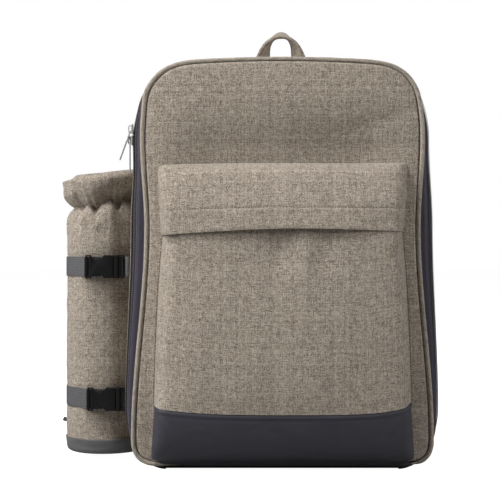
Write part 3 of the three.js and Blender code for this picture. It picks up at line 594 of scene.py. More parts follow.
def row_tree():
    """Beads set at even steps along a path: stitches, or the teeth of a zip."""
    tree = bpy.data.node_groups.new("beads along a path", "GeometryNodeTree")
    for name in ("Path", *BEAD_SIZES, "Finish"):
        kind = {"Path": "Geometry", "Finish": "Material"}.get(name, "Float")
        tree.interface.new_socket(name, in_out="INPUT", socket_type="NodeSocket" + kind)
    tree.interface.new_socket("Beads", in_out="OUTPUT", socket_type="NodeSocketGeometry")

    def node(*what):
        return add_node(tree, *what)

    given = node("NodeGroupInput")
    path = node("GeometryNodeMeshToCurve", None, {"Mesh": given["Path"]})["Curve"]
    path = node("GeometryNodeResampleCurve", {"mode": "LENGTH"},
                {"Curve": path, "Length": given["Step"]})["Curve"]
    out = node("GeometryNodeInputNamedAttribute", {"data_type": "FLOAT_VECTOR"}, {"Name": "out"})
    tangent = node("GeometryNodeInputTangent")["Tangent"]
    along = node("FunctionNodeAlignRotationToVector", {"axis": "X"}, {"Vector": tangent})
    turned = node("FunctionNodeAlignRotationToVector", {"axis": "Z", "pivot_axis": "X"},
                  {"Rotation": along["Rotation"], "Vector": out["Attribute"]})["Rotation"]
    bead = node("GeometryNodeMeshUVSphere", None, {"Segments": 8, "Rings": 5, "Radius": 0.5})["Mesh"]
    bead = node("GeometryNodeSetShadeSmooth", None, {"Geometry": bead})["Geometry"]
    size = node("ShaderNodeCombineXYZ", None,
                {"X": given["Length"], "Y": given["Width"], "Z": given["Height"]})["Vector"]
    beads = node("GeometryNodeInstanceOnPoints", None,
                 {"Points": path, "Instance": bead, "Rotation": turned, "Scale": size})
    beads = node("GeometryNodeRealizeInstances", None, {"Geometry": beads["Instances"]})["Geometry"]
    beads = node("GeometryNodeSetMaterial", None, {"Geometry": beads, "Material": given["Finish"]})
    node("NodeGroupOutput", None, {"Beads": beads["Geometry"]})
    return tree


BEAD_ROW = row_tree()


def bead_row(name, paths, finish, *sizes):
    """Beads along several paths, each a pair of points and outward directions in millimetres.

    sizes are the step from bead to bead and a bead's length, width and height.
    """
    points, outs, edges = [], [], []
    for path, out in paths:
        edges += [(len(points) + n, len(points) + n + 1) for n in range(len(path) - 1)]
        points += list(np.asarray(path) * MM)
        outs += list(unit(np.broadcast_to(out, np.shape(path))))
    mesh = bpy.data.meshes.new(name)
    mesh.from_pydata([tuple(p) for p in points], edges, [])
    outward = mesh.attributes.new("out", "FLOAT_VECTOR", "POINT")
    outward.data.foreach_set("vector", np.array(outs, np.float32).ravel())
    guide = link(name + "_guide", mesh)
    rows = guide.modifiers.new("row", "NODES")
    rows.node_group = BEAD_ROW
    given = {"Finish": finish.material, **{key: size * MM for key, size in zip(BEAD_SIZES, sizes)}}
    for item in BEAD_ROW.interface.items_tree:
        if item.name in given:
            rows[item.identifier] = given[item.name]
    made = baked(guide)
    made.name = name
    if not made.uv_layers:
        made.uv_layers.new(name="cloth")
    made.uv_layers[0].name = "cloth"
    return sew(link(name, made), finish)


# Body
def outline(depth):
    """The ring of the body at a depth, from the middle of the base up the right side and down the left."""
    hip, waist, chest, base, crown, foot, hip_z, rise, reach = (
        read(BODY, "depth", at, depth) for at in list(BODY)[1:])
    base, top, k = max(0.0, base), crown - CROWN_DROP, CORNER_FULLNESS
    lean = 2 * CROWN_DROP * reach * (chest - SHOULDER_X) / SHOULDER_X
    foot_reach = foot + (k - REAR_FOOT_LIFT * smooth(depth, 2, 10)) * (hip - foot)
    runs = [[(0, base), (foot, base)],
            [(foot, base), (foot_reach, base), (hip, hip_z - k * (hip_z - base)), (hip, hip_z)]]
    for low, high, z0, z1 in ((hip, waist, hip_z, WAIST_Z), (waist, chest, WAIST_Z, CHEST_Z)):
        third = (z1 - z0) / 3
        runs.append([(low, z0), (low, z0 + third), (high, z1 - third), (high, z1)])
    runs.append([(chest, CHEST_Z), (chest, CHEST_Z + rise * (top - CHEST_Z)),
                 (SHOULDER_X + reach * (chest - SHOULDER_X), top - lean), (SHOULDER_X, top)])
    runs.append([(SHOULDER_X, top), (SHOULDER_X / 2, crown), (0, crown)])
    half = [bezier(run, np.arange(n) / n) for run, n in zip(runs, OUTLINE_STEPS)]
    half = np.vstack([*half, (0, crown)])
    ring = np.vstack([half, half[-2:0:-1] * (-1, 1)])
    x, z = ring.T
    # The shoulders are fuller than the plain curve, the left one most, and so is the cloth by the sliders
    left = 2 * hill(z, 366, 14) + 1.6 * hill(z, 322, 24) * smooth(depth, 6, 18)
    ring[:, 0] = x - left * (x < 0) + 0.8 * hill(z, 368, 12) * (x > 0)
    return ring


def body_grid(depths, stations):
    depths = np.asarray(depths, float)
    rings = np.stack([outline(d) for d in depths], axis=1)[np.asarray(stations) % STATIONS]
    return np.dstack([rings[..., 0], np.broadcast_to(FRONT_Y + depths, rings.shape[:2]), rings[..., 1]])


UPPER_RUN = np.arange(FOOT_STATION, STATIONS - FOOT_STATION + 1)
BASE_RUN = np.arange(-FOOT_STATION, FOOT_STATION + 1)
# Swells and hollows of the front panel
PANEL = Named(half_width=142, half_height=198, dome=6)
DENT = Named(x=78, z=306, spread_x=56, spread_z=24, deep=3.4)
HOLLOW = Named(z=304, spread=34, reach=128, deep=3.6)
CREASE = Named(x=92, z=332, spread_x=38, spread_z=9, slope=0.25, level_at=70, deep=1.5)
FLAP_HOLLOW = Named(z=287, spread=50, full_to=62, ends_at=126, deep=11)
CLOTH = Named(dome=3.5, half_width=128, edge_drop=1.6, edge_from=95, edge_wide=45)


def low_dome(value, reach):
    return 1 - np.minimum(1, np.abs(value) / reach) ** 4


def panel_y(x, z):
    """The plain face of the front panel: a low dome with a dent and a hollow above the flap."""
    across, up = low_dome(x, PANEL.half_width), low_dome(z - MIDDLE_Z, PANEL.half_height)
    dent = DENT.deep * hill(x, DENT.x, DENT.spread_x) * hill(z, DENT.z, DENT.spread_z)
    hollow = HOLLOW.deep * low_dome(x, HOLLOW.reach) * hill(z, HOLLOW.z, HOLLOW.spread)
    return FRONT_Y - 1 - PANEL.dome * across * up + dent + hollow


def cloth_y(x, z):
    """The front panel as the cloth hangs: a deeper hollow along the seam of the flap."""
    crease_z = CREASE.z + CREASE.slope * (x - CREASE.level_at)
    crease = CREASE.deep * hill(z, crease_z, CREASE.spread_z) * hill(x, CREASE.x, CREASE.spread_x)
    beyond = np.maximum(0, np.abs(x) - CLOTH.edge_from) / CLOTH.edge_wide
    edge = CLOTH.edge_drop * beyond ** 2 * smooth(z, 60, 240)
    dome = CLOTH.dome * np.maximum(0, 1 - (x / CLOTH.half_width) ** 2)
    hollow = FLAP_HOLLOW.deep * (1 - smooth(np.abs(x), FLAP_HOLLOW.full_to, FLAP_HOLLOW.ends_at))
    return panel_y(x, z) - dome + crease + edge + hollow * hill(z, FLAP_HOLLOW.z, FLAP_HOLLOW.spread)


def seam_ring(inset):
    """The front seam, moved in from the line of the piping."""
    ring = body_grid([0], np.arange(STATIONS))[:, 0]
    along = unit(np.roll(ring, -1, axis=0) - np.roll(ring, 1, axis=0))
    out = np.stack([along[:, 2], np.zeros(STATIONS), -along[:, 0]], axis=1)
    return ring - out * inset, out


def front_panel():
    edge, _ = seam_ring(PIPING_RADIUS + 0.35)
    shares = steps((0.004, 0.9, 60), (0.908, 1, 18))[:, None]
    x = edge[None, ::-1, 0] * shares
    z = MIDDLE_Z + (edge[None, ::-1, 2] - MIDDLE_Z) * shares
    reach = np.hypot(edge[::-1, 0], edge[::-1, 2] - MIDDLE_Z)[None]
    inward = (1 - shares) * reach
    y = cloth_y(x, z) + 1.6 * hill(inward, 0, 1.1)
    points = np.dstack([x, y, z])
    y = y + 0.9 * relief(points, 55, 1) * smooth(inward, 4, 30)
    grid = np.dstack([x, y, z])
    piece = surface("front_panel_cloth", grid, 2.2, loop=True, uv=closed(grid)[..., ::2] * MM)
    sew(piece, beige_cloth, "front_panel")


def piping(node, stations, finish, squeeze=1.0, end_taper=0.0):
    line, out = seam_ring(0)
    stations = np.asarray(stations) % STATIONS
    turn = np.linspace(0, 2 * math.pi, 12, endpoint=False)[None, :, None]
    spokes = out[stations][:, None] * np.cos(turn) + np.array([0, 1, 0]) * np.sin(turn)
    lumps = 1 + 0.07 * relief(line[stations], 6, 31)
    count = np.arange(len(stations))
    taper = 1 - end_taper * (hill(count, 0, 4) + hill(count, count[-1], 4))
    grid = line[stations][:, None] + PIPING_RADIUS * (lumps * taper)[:, None, None] * spokes
    grid[..., 0] *= squeeze
    sew(surface(node + "_cord", grid[:, ::-1], loop=True, caps=True), finish, node)


def body_wall(node, depths, wall, stations, finish, squeeze=1.0, rise=None):
    grid = body_grid(depths, stations)
    if rise is not None:
        grid = puffed(grid, rise(grid))
    grid[..., 0] *= squeeze
    sew(surface(node + "_cloth", grid, wall), finish, node)


GUSSET_SEAMS = (33.4, 141)


def strip_swell(grid):
    depth = grid[..., 1] - FRONT_Y
    return 1.3 * hill(depth, 8.8, 2.2) - 2 * hill(depth, 4, 1.8)


def gusset_swell(grid):
    """Folds of the gusset between its seams, and its turned edge beside the zip."""
    depth = grid[..., 1] - FRONT_Y
    free = smooth(depth, 27, 40) * (1 - smooth(depth, 128, 146))
    folds = 1.1 * relief(grid, 46, 2) + 0.5 * relief(grid, 19, 3)
    left = 1 - smooth(grid[..., 0], -60, 60)
    turned_edge = 1.1 * hill(depth, 28.6, 1.8) * left - 0.5 * hill(depth, GUSSET_SEAMS[0], 1.2)
    return (free * folds + turned_edge) * smooth(grid[..., 2], 2, 40)


BACK_CHANNELS = (112, 200, 288)


def back_panel():
    edge = outline(147)
    shares = steps((0.004, 0.88, 44), (0.9, 1, 12))[:, None]
    x, z = edge[None, :, 0] * shares, MIDDLE_Z + (edge[None, :, 1] - MIDDLE_Z) * shares
    y = BACK_FACE_Y - 2.4 - 0.9 * smooth(shares, 0.9, 0.965) - 2 * smooth(shares, 0.95, 1) + 0 * x
    channel = sum(hill(z, at, 3.2) for at in BACK_CHANNELS) * (1 - smooth(np.abs(x), 92, 108))
    grid = np.dstack([x, y + 0.5 * relief(np.dstack([x, y, z]), 40, 4) * (1 - smooth(shares, 0.9, 1)), z])
    grid = swelled(grid, 2.4, np.clip(channel + smooth(shares, 0.9, 0.95), 0, 1))
    grid[..., 1] = np.minimum(grid[..., 1], BACK_FACE_Y + 0.4)
    piece = surface("back_panel_pad", grid, 3.0, loop=True, uv=closed(np.dstack([x, z])) * MM)
    sew(piece, beige_cloth, "back_panel")


def zip_teeth():
    stop = 4 * FINE
    stations = UPPER_RUN[stop:len(UPPER_RUN) - stop]
    grid = body_grid([ZIP_DEPTH - 1.2, ZIP_DEPTH, ZIP_DEPTH + 1.2], stations)
    normals = grid_normals(grid)
    paths = [(grid[:, k] + 0.75 * normals[:, k], normals[:, k]) for k in (0, 2)]
    piece = bead_row("zip_teeth", paths, zip_coil, 1.9, 1.25, 2.7, 1.2)
    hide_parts("zip_coil")


# The beige cord runs on under the band on the left, and the dark one past the corner on the right
BEIGE_CORD_RUN = np.arange(UPPER_RUN[3], UPPER_RUN[-1] + 5)
DARK_CORD_RUN = np.arange(BASE_RUN[0] + 3, BASE_RUN[-1] + 4)
STRIP_DEPTHS, TAPE_DEPTHS = np.linspace(2.7, 11.6, 14), np.linspace(12, 26.2, 13)
GUSSET_DEPTHS = steps((26.8, 36, 12), (39, 146.4, 36))
BASE_DEPTHS = np.linspace(2.7, 146.5, 40)
STRIP_WALL, TAPE_WALL, PADDED_WALL = 1.2, 0.9, 2.6
BASE_SQUEEZE = 0.996

front_panel()
piping("front_piping", BEIGE_CORD_RUN, piping_cloth_painted_lighter, end_taper=0.6)
piping("base_piping", DARK_CORD_RUN, leather_look, BASE_SQUEEZE)
body_wall("front_strip", STRIP_DEPTHS, STRIP_WALL, UPPER_RUN, violet_strip, rise=strip_swell)
body_wall("zip_tape", TAPE_DEPTHS, TAPE_WALL, UPPER_RUN, zip_tape)
body_wall("side_gusset", GUSSET_DEPTHS, PADDED_WALL, UPPER_RUN, beige_cloth, rise=gusset_swell)
body_wall("base_panel", BASE_DEPTHS, PADDED_WALL, BASE_RUN, black_base, BASE_SQUEEZE)
back_panel()
zip_teeth()


# Pocket and flap
SIDE, BEND, FACE = range(3)
SIDE_STEPS, BEND_STEPS, FACE_STEPS = 8, 10, 34
SECTION = ("seam", "face", "deep", "swell", "round")
POCKET_WALL = 1.6
POCKET_GAP = GAP + 0.1
POCKET_PLEATS = ((-5, 13, -2.8), (21, 8, 1.8), (40, 9, -1.9))


def boxed(size, z_of):
    """Columns of a boxed section from the left seam over the face to the right seam."""
    kind = np.repeat((SIDE, BEND, FACE), (SIDE_STEPS, BEND_STEPS, FACE_STEPS + 1))
    t = np.concatenate([np.arange(SIDE_STEPS) / SIDE_STEPS, np.arange(BEND_STEPS) / BEND_STEPS,
                        np.linspace(0, 1, FACE_STEPS + 1)])
    kind, t = (np.concatenate([half, half[-2::-1]]) for half in (kind, t))
    sign = np.where(np.arange(len(t)) < len(t) // 2, -1, 1)
    sign[len(t) // 2] = 0

    def columns_at(row):
        seam, front, deep, swell, radius = (row[name] for name in SECTION)
        back = np.minimum(0.9, radius / np.hypot(seam - front, deep))
        start = front + (seam - front) * back, deep * (1 - back)
        end = front - radius
        bend_x = (1 - t) ** 2 * start[0] + 2 * t * (1 - t) * front + t ** 2 * end
        bend_out = (1 - t) ** 2 * start[1] + (1 - (1 - t) ** 2) * deep
        face_x = np.where(kind == BEND, bend_x, end * (1 - t))
        x = np.where(kind == SIDE, seam + (start[0] - seam) * t, face_x)
        out = np.where(kind == SIDE, start[1] * t, np.where(kind == BEND, bend_out, deep))
        return sign * x, out + swell * np.maximum(0, 1 - (x / front) ** 2)

    x, out = columns_at(size)
    return columns_at, x, z_of(x)


def rows_of(table, z):
    return {name: read(table, "z", name, z) for name in SECTION}


def foot_z(x):
    """The lower edge of the band, which lifts only at its ends."""
    return 7.4 + 7 * (np.abs(x) / 125.5) ** 24


def seam_z(x):
    """The upper edge of the band, which climbs to its ends."""
    out = np.abs(x) / 115
    return 60.2 + np.where(x < 0, 4.2 * out ** 3, (6 + 2 * smooth(x, 112, 120)) * out ** 5)


def pocket_grid(shares, low, high):
    rows = []
    for share in shares:
        def height(x):
            return low(x) + share * (high(x) - low(x))
        columns_at, _, z = boxed(rows_of(POCKET, height(np.array(0.0))), height)
        x, out = columns_at(rows_of(POCKET, z))
        back = panel_y(x, z) + (cloth_y(x, z) - panel_y(x, z)) * (1 - smooth(out, 1, 12))
        rows.append(np.stack([x, back - POCKET_GAP - out, z], axis=1))
    return np.stack(rows)


def pocket_soft(grid):
    """Hollows and soft folds of the pocket, most below the flap."""
    x, z = grid[..., 0], grid[..., 2]
    front = smooth(panel_y(x, z) - grid[..., 1], 14, 24)
    pleats = sum(high * hill(x, at, spread) for at, spread, high in POCKET_PLEATS)
    hollow = -2.2 * hill(x, 8, 34) * hill(z, 222, 26) + pleats * hill(z, 212, 34)
    folds = 0.9 * relief(grid * (1, 1, 0.55), 34, 5) + 0.45 * relief(grid * (1, 1, 0.5), 15, 6)
    turned = 3.2 * (np.maximum(0, -x - 76) / 34) ** 2
    return front * (hollow + (folds - turned) * smooth(z, 58, 90))


def pocket():
    face = pocket_grid(np.linspace(0, 1, 84), lambda x: seam_z(x) + 0.2, lambda x: MOUTH_Z + 0 * x)
    face = puffed(face, pocket_soft(face))
    sew(surface("pocket_face_cloth", face, POCKET_WALL), beige_cloth, "pocket_face")
    band = pocket_grid(np.linspace(0, 1, 40), foot_z, lambda x: seam_z(x) - 0.2)
    x, z = band[..., 0], band[..., 2]
    below = seam_z(x) - 0.2 - z
    turned_edge = 0.5 * hill(below, 2.4, 1.6) - 0.9 * hill(below, 4.9, 0.7) - 0.8 * hill(below, 0, 0.8)
    band = puffed(band, turned_edge + 0.35 * relief(band, 30, 7))
    sew(surface("pocket_band_cloth", band, POCKET_WALL), leather_look, "pocket_band")


def flap_lift(x, z):
    share = np.interp(z, FLAP_LIFT["z"], FLAP_LIFT["share"])
    sag = 2.6 * np.maximum(0, -x / 118) ** 3 * smooth(z, 258, 292)
    return share * (2.6 * (1 - (x / 112) ** 2) - 3.4 * np.maximum(0, -x / 112) - 0.8) - sag


def flap_rows(levels):
    rows = []
    for z0 in levels:
        columns_at, x, z = boxed(rows_of(FLAP, z0), lambda x: z0 + flap_lift(x, z0))
        x, out = columns_at(rows_of(FLAP, z0))
        back = panel_y(x, z) + (cloth_y(x, z) - panel_y(x, z)) * smooth(z0, 286, 297)
        ends = 2.6 * smooth(np.abs(x), 50, 100) * smooth(262 - z0, 0, 28)
        ends = ends + 2 * (np.maximum(0, x - 70) / 44) ** 2 * smooth(297 - z0, 0, 14)
        out = np.maximum(out - ends, np.minimum(out, 2.8))
        rows.append(np.stack([x, back - POCKET_GAP - out, z], axis=1))
    return np.stack(rows)


def flap():
    levels = steps((232, 284, 48), (285, 297.6, 22))
    grid = flap_rows(levels)
    lower = levels[:, None] + 0 * grid[..., 0]
    groove = -0.5 * hill(lower, HEM_Z, 0.8) + 0.2 * hill(lower, HEM_Z - 3, 2.4)
    hem = -0.8 * hill(lower, 232, 1.4)
    waves = (0.7 * relief(grid, 38, 8) + 0.3 * relief(grid, 16, 9)) * smooth(297 - lower, 0, 12)
    grid = puffed(grid, groove + hem + waves)
    piece = sew(surface("pocket_flap_cloth", grid, POCKET_WALL), beige_cloth, "pocket_flap")
    flat, area = cut_size(grid)
    hem_row = np.argmin(np.abs(levels - HEM_Z))
    return grid[hem_row], grid_normals(grid)[hem_row]


pocket()
hem_line, hem_out = flap()


# Bottle sleeve
def press(points):
    """Flattens the sleeve softly where it meets the side of the body, and moves it to its place."""
    over = points[..., 0] - SLEEVE_PRESSED_AT
    flat = SLEEVE_PRESSED_AT - 3 + 3 * (1 - np.exp(-np.maximum(over + 3, 0) / 3))
    x = np.where(over > -3, flat, points[..., 0])
    return np.dstack([x + SLEEVE_X, points[..., 1] + SLEEVE_Y, points[..., 2]])


def ring_grid(radius, z, turn):
    return np.dstack([radius * np.cos(turn), radius * np.sin(turn), z + 0 * radius])


# Dips of the drawn neck line: distance from the middle of the sleeve, spread and depth
NECK_DIPS = ((-20.7, 3, 3), (-6.6, 4, 8.5), (14.6, 3.2, 5))
SLEEVE_Z, SLEEVE_OUT = (20, 241, 248, 254, 257, 262), (41, 41, 39.8, 37, 33, 27)
FOOT_PROFILE = ((0.3, 8), (20, 8), (36, 8), (38.4, 8.5), (40, 9.8), (41, 12.4), (41.4, 16), (41.8, 20),
                (42, 22.4), (41.2, 23), (40.2, 22.6))
SLEEVE_WALL, FOOT_WALL, COLLAR_WALL = 3, 1.6, 1.2


def neck_dip(x):
    return sum(deep * hill(x, at, spread) for at, spread, deep in NECK_DIPS)


def neck_rise(x):
    """How far the drawn neck line lies above its plain level."""
    return 2.2 + 0.1 * x - neck_dip(x)


def all_round(count):
    return np.linspace(-math.pi, math.pi, count, endpoint=False)[None]


def sleeve():
    turn = all_round(160)
    z = steps((20.3, 238, 96), (240, 262, 32))[:, None]
    radius = np.interp(z, SLEEVE_Z, SLEEVE_OUT) + 0 * turn
    plain = ring_grid(radius, z, turn)
    gather = 0.9 * np.cos(15 * turn + 1.3 * np.sin(3 * turn)) + 0.6 * np.cos(9 * turn + 1)
    gather = 0.9 * gather * smooth(z, 205, 257)
    under_strap, near_strap = (np.minimum(1, sum(hill(z, at, spread) for at in STRAP_Z.values()))
                               for spread in (11, 13))
    folds = relief(plain * (1, 1, 0.6), 30, 10) + 0.5 * relief(plain * (1, 1, 1.6), 17, 11)
    free = (1 - near_strap) * (0.2 * smooth(z, 20, 34) + folds * smooth(z, 20, 32))
    beside_bag = 2.4 * smooth(plain[..., 0], 6, 26)
    grid = ring_grid(radius + free + gather - 1.1 * under_strap - beside_bag, z, turn)
    grid[..., 2] += neck_rise(grid[..., 0]) * smooth(z, 226, 257)
    piece = surface("bottle_sleeve_cloth", press(grid), SLEEVE_WALL, loop=True)
    sew(piece, beige_cloth, "bottle_sleeve")


def sleeve_base():
    turn = all_round(128)
    profile = spline(FOOT_PROFILE, 3)
    radius, z = profile[:, :1] + 0 * turn, profile[:, 1:] + 0 * turn
    plain = ring_grid(radius, z, turn)
    folds = 0.5 * relief(plain * (1, 1, 2.4), 13, 21) + 0.25 * relief(plain * (1, 1, 3), 5, 22)
    radius = radius + smooth(z, 9, 14) * folds
    z = z + smooth(z, 14, 22) * 1.1 * relief(plain, 16, 23)
    piece = surface("bottle_base_cloth", press(ring_grid(radius, z, turn)), FOOT_WALL, loop=True, crease=70)
    sew(piece, sleeve_foot, "bottle_base")


def collar():
    turn = all_round(320)
    step = np.linspace(0, 7, 74)[:, None]
    radius, z, pleat = (read(COLLAR, "step", at, step) + 0 * turn for at in ("radius", "z", "pleat"))
    up = np.append(0, np.cumsum(np.hypot(np.diff(radius[:, 0]), np.diff(z[:, 0]))))[:, None]
    around = np.linspace(-math.pi, math.pi, turn.size + 1)[None] * COLLAR["radius"].max()
    uv = np.dstack(np.broadcast_arrays(around, up)) * MM
    drawn = np.exp(-step / 1.6) + 0.5 * smooth(step, 5.4, 7)
    fold = np.cos(13 * turn + 1.1 * np.sin(2 * turn)) + 0.45 * np.cos(5 * turn + 0.7)
    fine = np.cos(29 * turn + 2.1 * np.sin(3 * turn) + 0.4 * step) * drawn
    radius = radius + 0.72 * pleat * fold * (0.45 + 0.55 * drawn) + 1.1 * fine
    plain = ring_grid(radius, z, turn)
    x = plain[..., 0]
    tucked = smooth(x, -9, 7) * hill(step, 1.3, 1.1) - 0.55 * hill(x, 14.6, 2.4) * hill(step, 1, 0.9)
    pinch = neck_dip(x) * hill(step, 0.4, 0.9)
    soft = 1.4 * relief(plain * (1, 1, 0.5), 16, 12) * smooth(step, 0.5, 2)
    full_left = smooth(-x, 22, 32) * (2.2 * hill(z, 269, 7) + 1.1 * hill(z, 286, 2.4))
    grid = ring_grid(radius + soft - 11 * tucked - 1.15 * pinch + full_left, z, turn)
    tilt = np.where(grid[..., 0] > 0, 0.15, 0.06) * np.clip((z - 259) / 24, 0, 1)
    grid[..., 2] += tilt * grid[..., 0] + neck_rise(x) * hill(step, 0, 1.5)
    grid[..., 2] -= 3.2 * smooth(-x, 27, 36) * smooth(step, 4, 5.2)
    piece = surface("bottle_collar_cloth", press(grid), COLLAR_WALL, loop=True, uv=uv)
    sew(piece, beige_cloth, "bottle_collar")
    flat, area = cut_size(grid, True)


sleeve()
sleeve_base()
collar()


# Webbing
RIBBON = np.array([(u, -1 + 0.5 * (abs(u) == 1)) for u in np.linspace(-1, 1, 13)]
                  + [(u, 1 - 0.5 * (abs(u) == 1)) for u in np.linspace(1, -1, 13)])


def padded_section(count, fullness):
    turn = np.linspace(0, 2 * math.pi, count, endpoint=False)
    wave = np.stack([np.cos(turn), np.sin(turn)], axis=1)
    return np.sign(wave) * np.abs(wave) ** (2 / fullness)


def strip_grid(at, side, width, thick, section):
    tangent = unit(np.gradient(at, axis=0))
    side = unit(side - tangent * np.sum(side * tangent, axis=1, keepdims=True))
    face = np.cross(tangent, side)
    width, thick = (np.broadcast_to(v, len(at))[:, None, None] / 2 for v in (width, thick))
    wide, deep = section[None, :, :1] * width, section[None, :, 1:] * thick
    return at[:, None] + side[:, None] * wide + face[:, None] * deep


def on_gusset(depth, z):
    """A place in plan, on the left side of the body, for the middle of a strap."""
    half = outline(depth)[:sum(OUTLINE_STEPS) + 1]
    side = half[(half[:, 1] > 20) & (half[:, 0] > SHOULDER_X)]
    return -(np.interp(z, side[:, 1], side[:, 0]) + GAP + WEB / 2), FRONT_Y + depth


def ribbon(name, run, z, *nodes, finish=grey_webbing):
    """A length of sleeve webbing along points in plan, its width upright."""
    at = spline([(x, y, z) for x, y in run], 5)
    grid = strip_grid(at, np.broadcast_to((0, 0, 1.0), at.shape), SLEEVE_STRAP_WIDTH, WEB, RIBBON)
    sew(surface(name, grid, loop=True, caps=True), finish, *nodes)


# Bars of a buckle from its middle, and the way of the webbing in plan from a bar or a seam
SOCKET_BAR, PLUG_BAR = -18.65, 18.25
OFF_REAR_SEAM, OFF_NEAR_SEAM = ((-0.4, 1.4), (-4, 3.4)), ((-0.5, 0.6),)
INTO_SOCKET = ((-3.4, 4.6), (-0.4, 2.5), (6, 2.1))
INTO_PLUG = ((4.6, -0.5), (2.4, 0.7), (0.4, 2.1), (-1, 2.1))
IN_WINDOW = ((-1.4, 1.7), (-4, 1.4), (-7, 2))
PRONGS = ((4, 0.6), (9, 0.6), (14, 0.6))
FOLD = ((-6.4, 7.2), (-5.6, 5.2), (-3.6, 2.8), (-1.5, 1))
ROUND_SLEEVE = np.radians(88 + 13.6 * np.arange(12))


def steps_from(start, steps):
    return [(start[0] + dx, start[1] + dy) for dx, dy in steps]


def sleeve_straps():
    around = SLEEVE_RADIUS + GAP + WEB / 2 - 1
    arc = [(SLEEVE_X + around * math.cos(t), SLEEVE_Y + around * math.sin(t)) for t in ROUND_SLEEVE]
    for name, z in STRAP_Z.items():
        socket, plug = ((BUCKLE_X[name] + bar, BUCKLE_Y) for bar in (SOCKET_BAR, PLUG_BAR))
        rear, near = on_gusset(128, z), on_gusset(44, z)
        long_run = [on_gusset(142, z), on_gusset(134, z), *steps_from(rear, OFF_REAR_SEAM), *arc,
                    *steps_from(socket, INTO_SOCKET)]
        short_run = [on_gusset(60, z), on_gusset(52, z), *steps_from(near, OFF_NEAR_SEAM),
                     (near[0] - 2.2, BUCKLE_Y + 1.4), *steps_from(plug, INTO_PLUG)]
        ribbon(f"{name}_long_webbing", long_run, z, f"{name}_long_strap")
        ribbon(f"{name}_short_webbing", short_run, z, f"{name}_short_strap")
        # The end of webbing in the plug's window takes the darker webbing, which is painted shade.
        ribbon(f"{name}_webbing_end", steps_from(plug, IN_WINDOW), z, finish=webbing_painted_in_shade)
        # The prongs take the lighter plastic, which is a painted highlight.
        ribbon(f"{name}_buckle_prongs", steps_from(socket, PRONGS), z, finish=prong_plastic_painted_highlight)
        ribbon(f"{name}_webbing_fold", steps_from(socket, FOLD), z)


HANDLE_WIDTH = 20
# A strap's stitched line, as a share of its half width, and the height share above which its faces are
STRAP_SEAM, SEAM_SPREAD, FACE_SHARE = 0.82, 0.06, 0.4


def handle():
    x, y, z, turn, thick = spline(HANDLE, 8).T
    at = np.stack([x + HANDLE_X, y, z], axis=1)
    along = np.gradient(at, axis=0)
    outward = unit(np.stack([-along[:, 2], 0 * x, along[:, 0]], axis=1))
    turn = np.radians(turn)[:, None]
    side = outward * np.cos(turn) + np.array([0, 1, 0]) * np.sin(turn)
    grid = strip_grid(at, side, HANDLE_WIDTH, thick, padded_section(28, 4))
    sew(surface("handle_cloth", grid, loop=True, caps=True), beige_cloth, "handle")


def shoulder_straps():
    """Both padded straps with their webbing; gives the lines that are stitched."""
    seams = []
    x, y, z, width, thick = spline(SHOULDER, 17).T
    section = padded_section(40, 3.2)
    across, faces = np.abs(section[:, 0]), np.abs(section[:, 1]) > FACE_SHARE
    dimple = -0.7 * hill(across, STRAP_SEAM, SEAM_SPREAD)[None] * faces
    stitched = np.flatnonzero((np.abs(across - STRAP_SEAM) < SEAM_SPREAD) & faces)
    for name, hand in (("right", 1), ("left", -1)):
        at = np.stack([hand * x, y, z], axis=1)
        flat = strip_grid(at, np.broadcast_to((1.0, 0, 0), at.shape), width - 2, 0.8 * thick, section)
        grid = swelled(flat, 1.6)
        grid = puffed(grid, dimple + 0.5 * relief(grid, 26, 13 + hand), True)
        out = grid_normals(grid, True)
        for column in stitched:
            seams.append((grid[4:-4, column] + 0.1 * out[4:-4, column], out[4:-4, column]))
        piece = surface(f"shoulder_strap_{name}_pad", grid, loop=True, caps=True)
        sew(piece, beige_cloth, f"shoulder_strap_{name}")
        free = RIGHT_FREE_END if hand > 0 else LEFT_FREE_END
        web = [(hand * px, py, pz, sx, sy, hand * sz) for px, py, pz, sx, sy, sz in SHOULDER_WEB]
        end = [(px, py, pz, hand * sx, hand * sy, hand * sz) for px, py, pz, sx, sy, sz in free]
        run = spline(web + end, 6)
        grid = strip_grid(run[:, :3], run[:, 3:], SHOULDER_WEB_WIDTH, WEB, RIBBON)
        piece = surface(f"shoulder_webbing_{name}", grid, loop=True, caps=True)
        sew(piece, dark_webbing, f"strap_webbing_{name}")
    return seams


sleeve_straps()
handle()
strap_seams = shoulder_straps()


# Hard pieces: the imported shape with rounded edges
def rounded(node, finish, radius, body="bag"):
    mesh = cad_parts[node].data.copy()
    mesh.materials.clear()
    shape = bmesh.new()
    shape.from_mesh(mesh)
    bmesh.ops.remove_doubles(shape, verts=shape.verts, dist=1e-5)
    bmesh.ops.dissolve_limit(shape, angle_limit=math.radians(1), verts=shape.verts, edges=shape.edges)
    shape.to_mesh(mesh)
    shape.free()
    blank = link(node + "_blank", mesh)
    edge = blank.modifiers.new("edge", "BEVEL")
    edge.width, edge.segments = radius * MM, 3
    edge.limit_method, edge.angle_limit = "ANGLE", math.radians(25)
    sew(settle(node + "_part", baked(blank), 35), finish, node, body=body)


for name in ("upper", "lower"):
    rounded(f"{name}_buckle_socket", buckle_plastic, 0.7)
    rounded(f"{name}_buckle_plug", buckle_plastic, 0.5)
    rounded(f"{name}_slider", zip_metal, 0.25)
    rounded(f"{name}_pull", zip_metal, 0.2, body=f"{name}_pull_body")
for name in ("left", "right"):
    rounded(f"strap_adjuster_{name}", buckle_plastic, 0.5)


# Stitching
TAPE_SEAMS = (14.6, 16.6)


def stitches(name, paths, finish, step=3.2):
    bead_row(name, paths, finish, step, 0.78 * step, 0.7, 0.5)


def beside_pocket(hand):
    z = np.linspace(70, 250, 90)
    x = hand * (read(POCKET, "z", "seam", z) + 0.9)
    return np.stack([x, cloth_y(x, z) - 0.2, z], axis=1), (0, -1, 0)


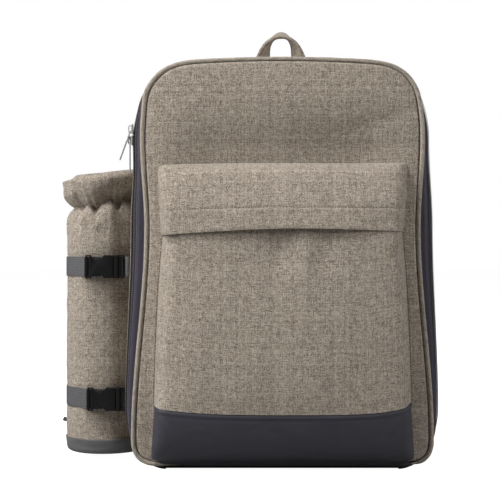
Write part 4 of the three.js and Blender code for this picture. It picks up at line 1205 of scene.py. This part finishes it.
def on_wall(depth, stations):
    grid = body_grid([depth - 1, depth, depth + 1], stations)
    out = grid_normals(grid)[:, 1]
    return grid[:, 1] + 0.15 * out, out


hem_line, hem_out = hem_line[14:-14], hem_out[14:-14]
stitches("hem_stitches", [(hem_line + 0.1 * hem_out, hem_out)], thread)
stitches("pocket_seam_stitches", [beside_pocket(hand) for hand in (-1, 1)], thread)
stitches("gusset_stitches", [on_wall(depth, UPPER_RUN[6:-6]) for depth in GUSSET_SEAMS], thread)
stitches("strap_stitches", strap_seams, thread)
stitches("zip_tape_stitches", [on_wall(depth, UPPER_RUN[10:-10]) for depth in TAPE_SEAMS], tape_thread,
         step=2.1)

# Camera, light and floor
scene = bpy.context.scene
camera = link("camera", bpy.data.cameras.new("camera"))
camera.location = (-0.0313, -1.2316, 0.2136)
camera.rotation_euler = (math.pi / 2, 0, 0)
camera.data.sensor_width, camera.data.lens = 36, 86.4
scene.camera = camera
scene.view_settings.view_transform = "Standard"
AMBIENT = 0.015

world = bpy.data.worlds.new("studio")
scene.world = world
world.use_nodes = True
seen = add_node(world.node_tree, "ShaderNodeLightPath")["Is Camera Ray"]
strength = add_node(world.node_tree, "ShaderNodeMapRange", None,
                    {"Value": seen, "To Min": AMBIENT, "To Max": 1.0})
backdrop = world.node_tree.nodes["Background"]
backdrop.inputs["Color"].default_value = (1, 1, 1, 1)
world.node_tree.links.new(strength["Result"], backdrop.inputs["Strength"])


def softbox(name, place, target, size, power):
    light = link(name, bpy.data.lights.new(name, "AREA"))
    light.data.shape, light.data.size, light.data.energy = "DISK", size, power
    light.location = place
    light.rotation_euler = (Vector(target) - Vector(place)).to_track_quat("-Z", "Y").to_euler()


softbox("key", (-1.3, -0.68, 0.75), (-0.05, 0, 0.2), 0.6, 13)
softbox("fill", (1.75, -0.87, 0.87), (0, 0, 0.2), 0.7, 17)
softbox("overhead", (-0.9, -0.62, 1.75), (0, -0.05, 0.2), 0.9, 34)
softbox("back", (0.5, 1.7, 1.0), (0, 0, 0.2), 1.0, 12)

bpy.ops.mesh.primitive_circle_add(vertices=96, radius=14, fill_type="NGON", location=(0, 0, -0.0004))
floor = bpy.context.object
floor.name = "floor"
pale = Finish("pale floor")
glow = pale.blend(pale.node("LightPath"), (0, 0, 0), (0.985, 0.985, 0.985))
pale.done(base_color=(0.38, 0.38, 0.38, 1), roughness=0.9, specular_ior_level=0.0, emission_color=glow,
          emission_strength=1.0)
floor.data.materials.append(pale.material)
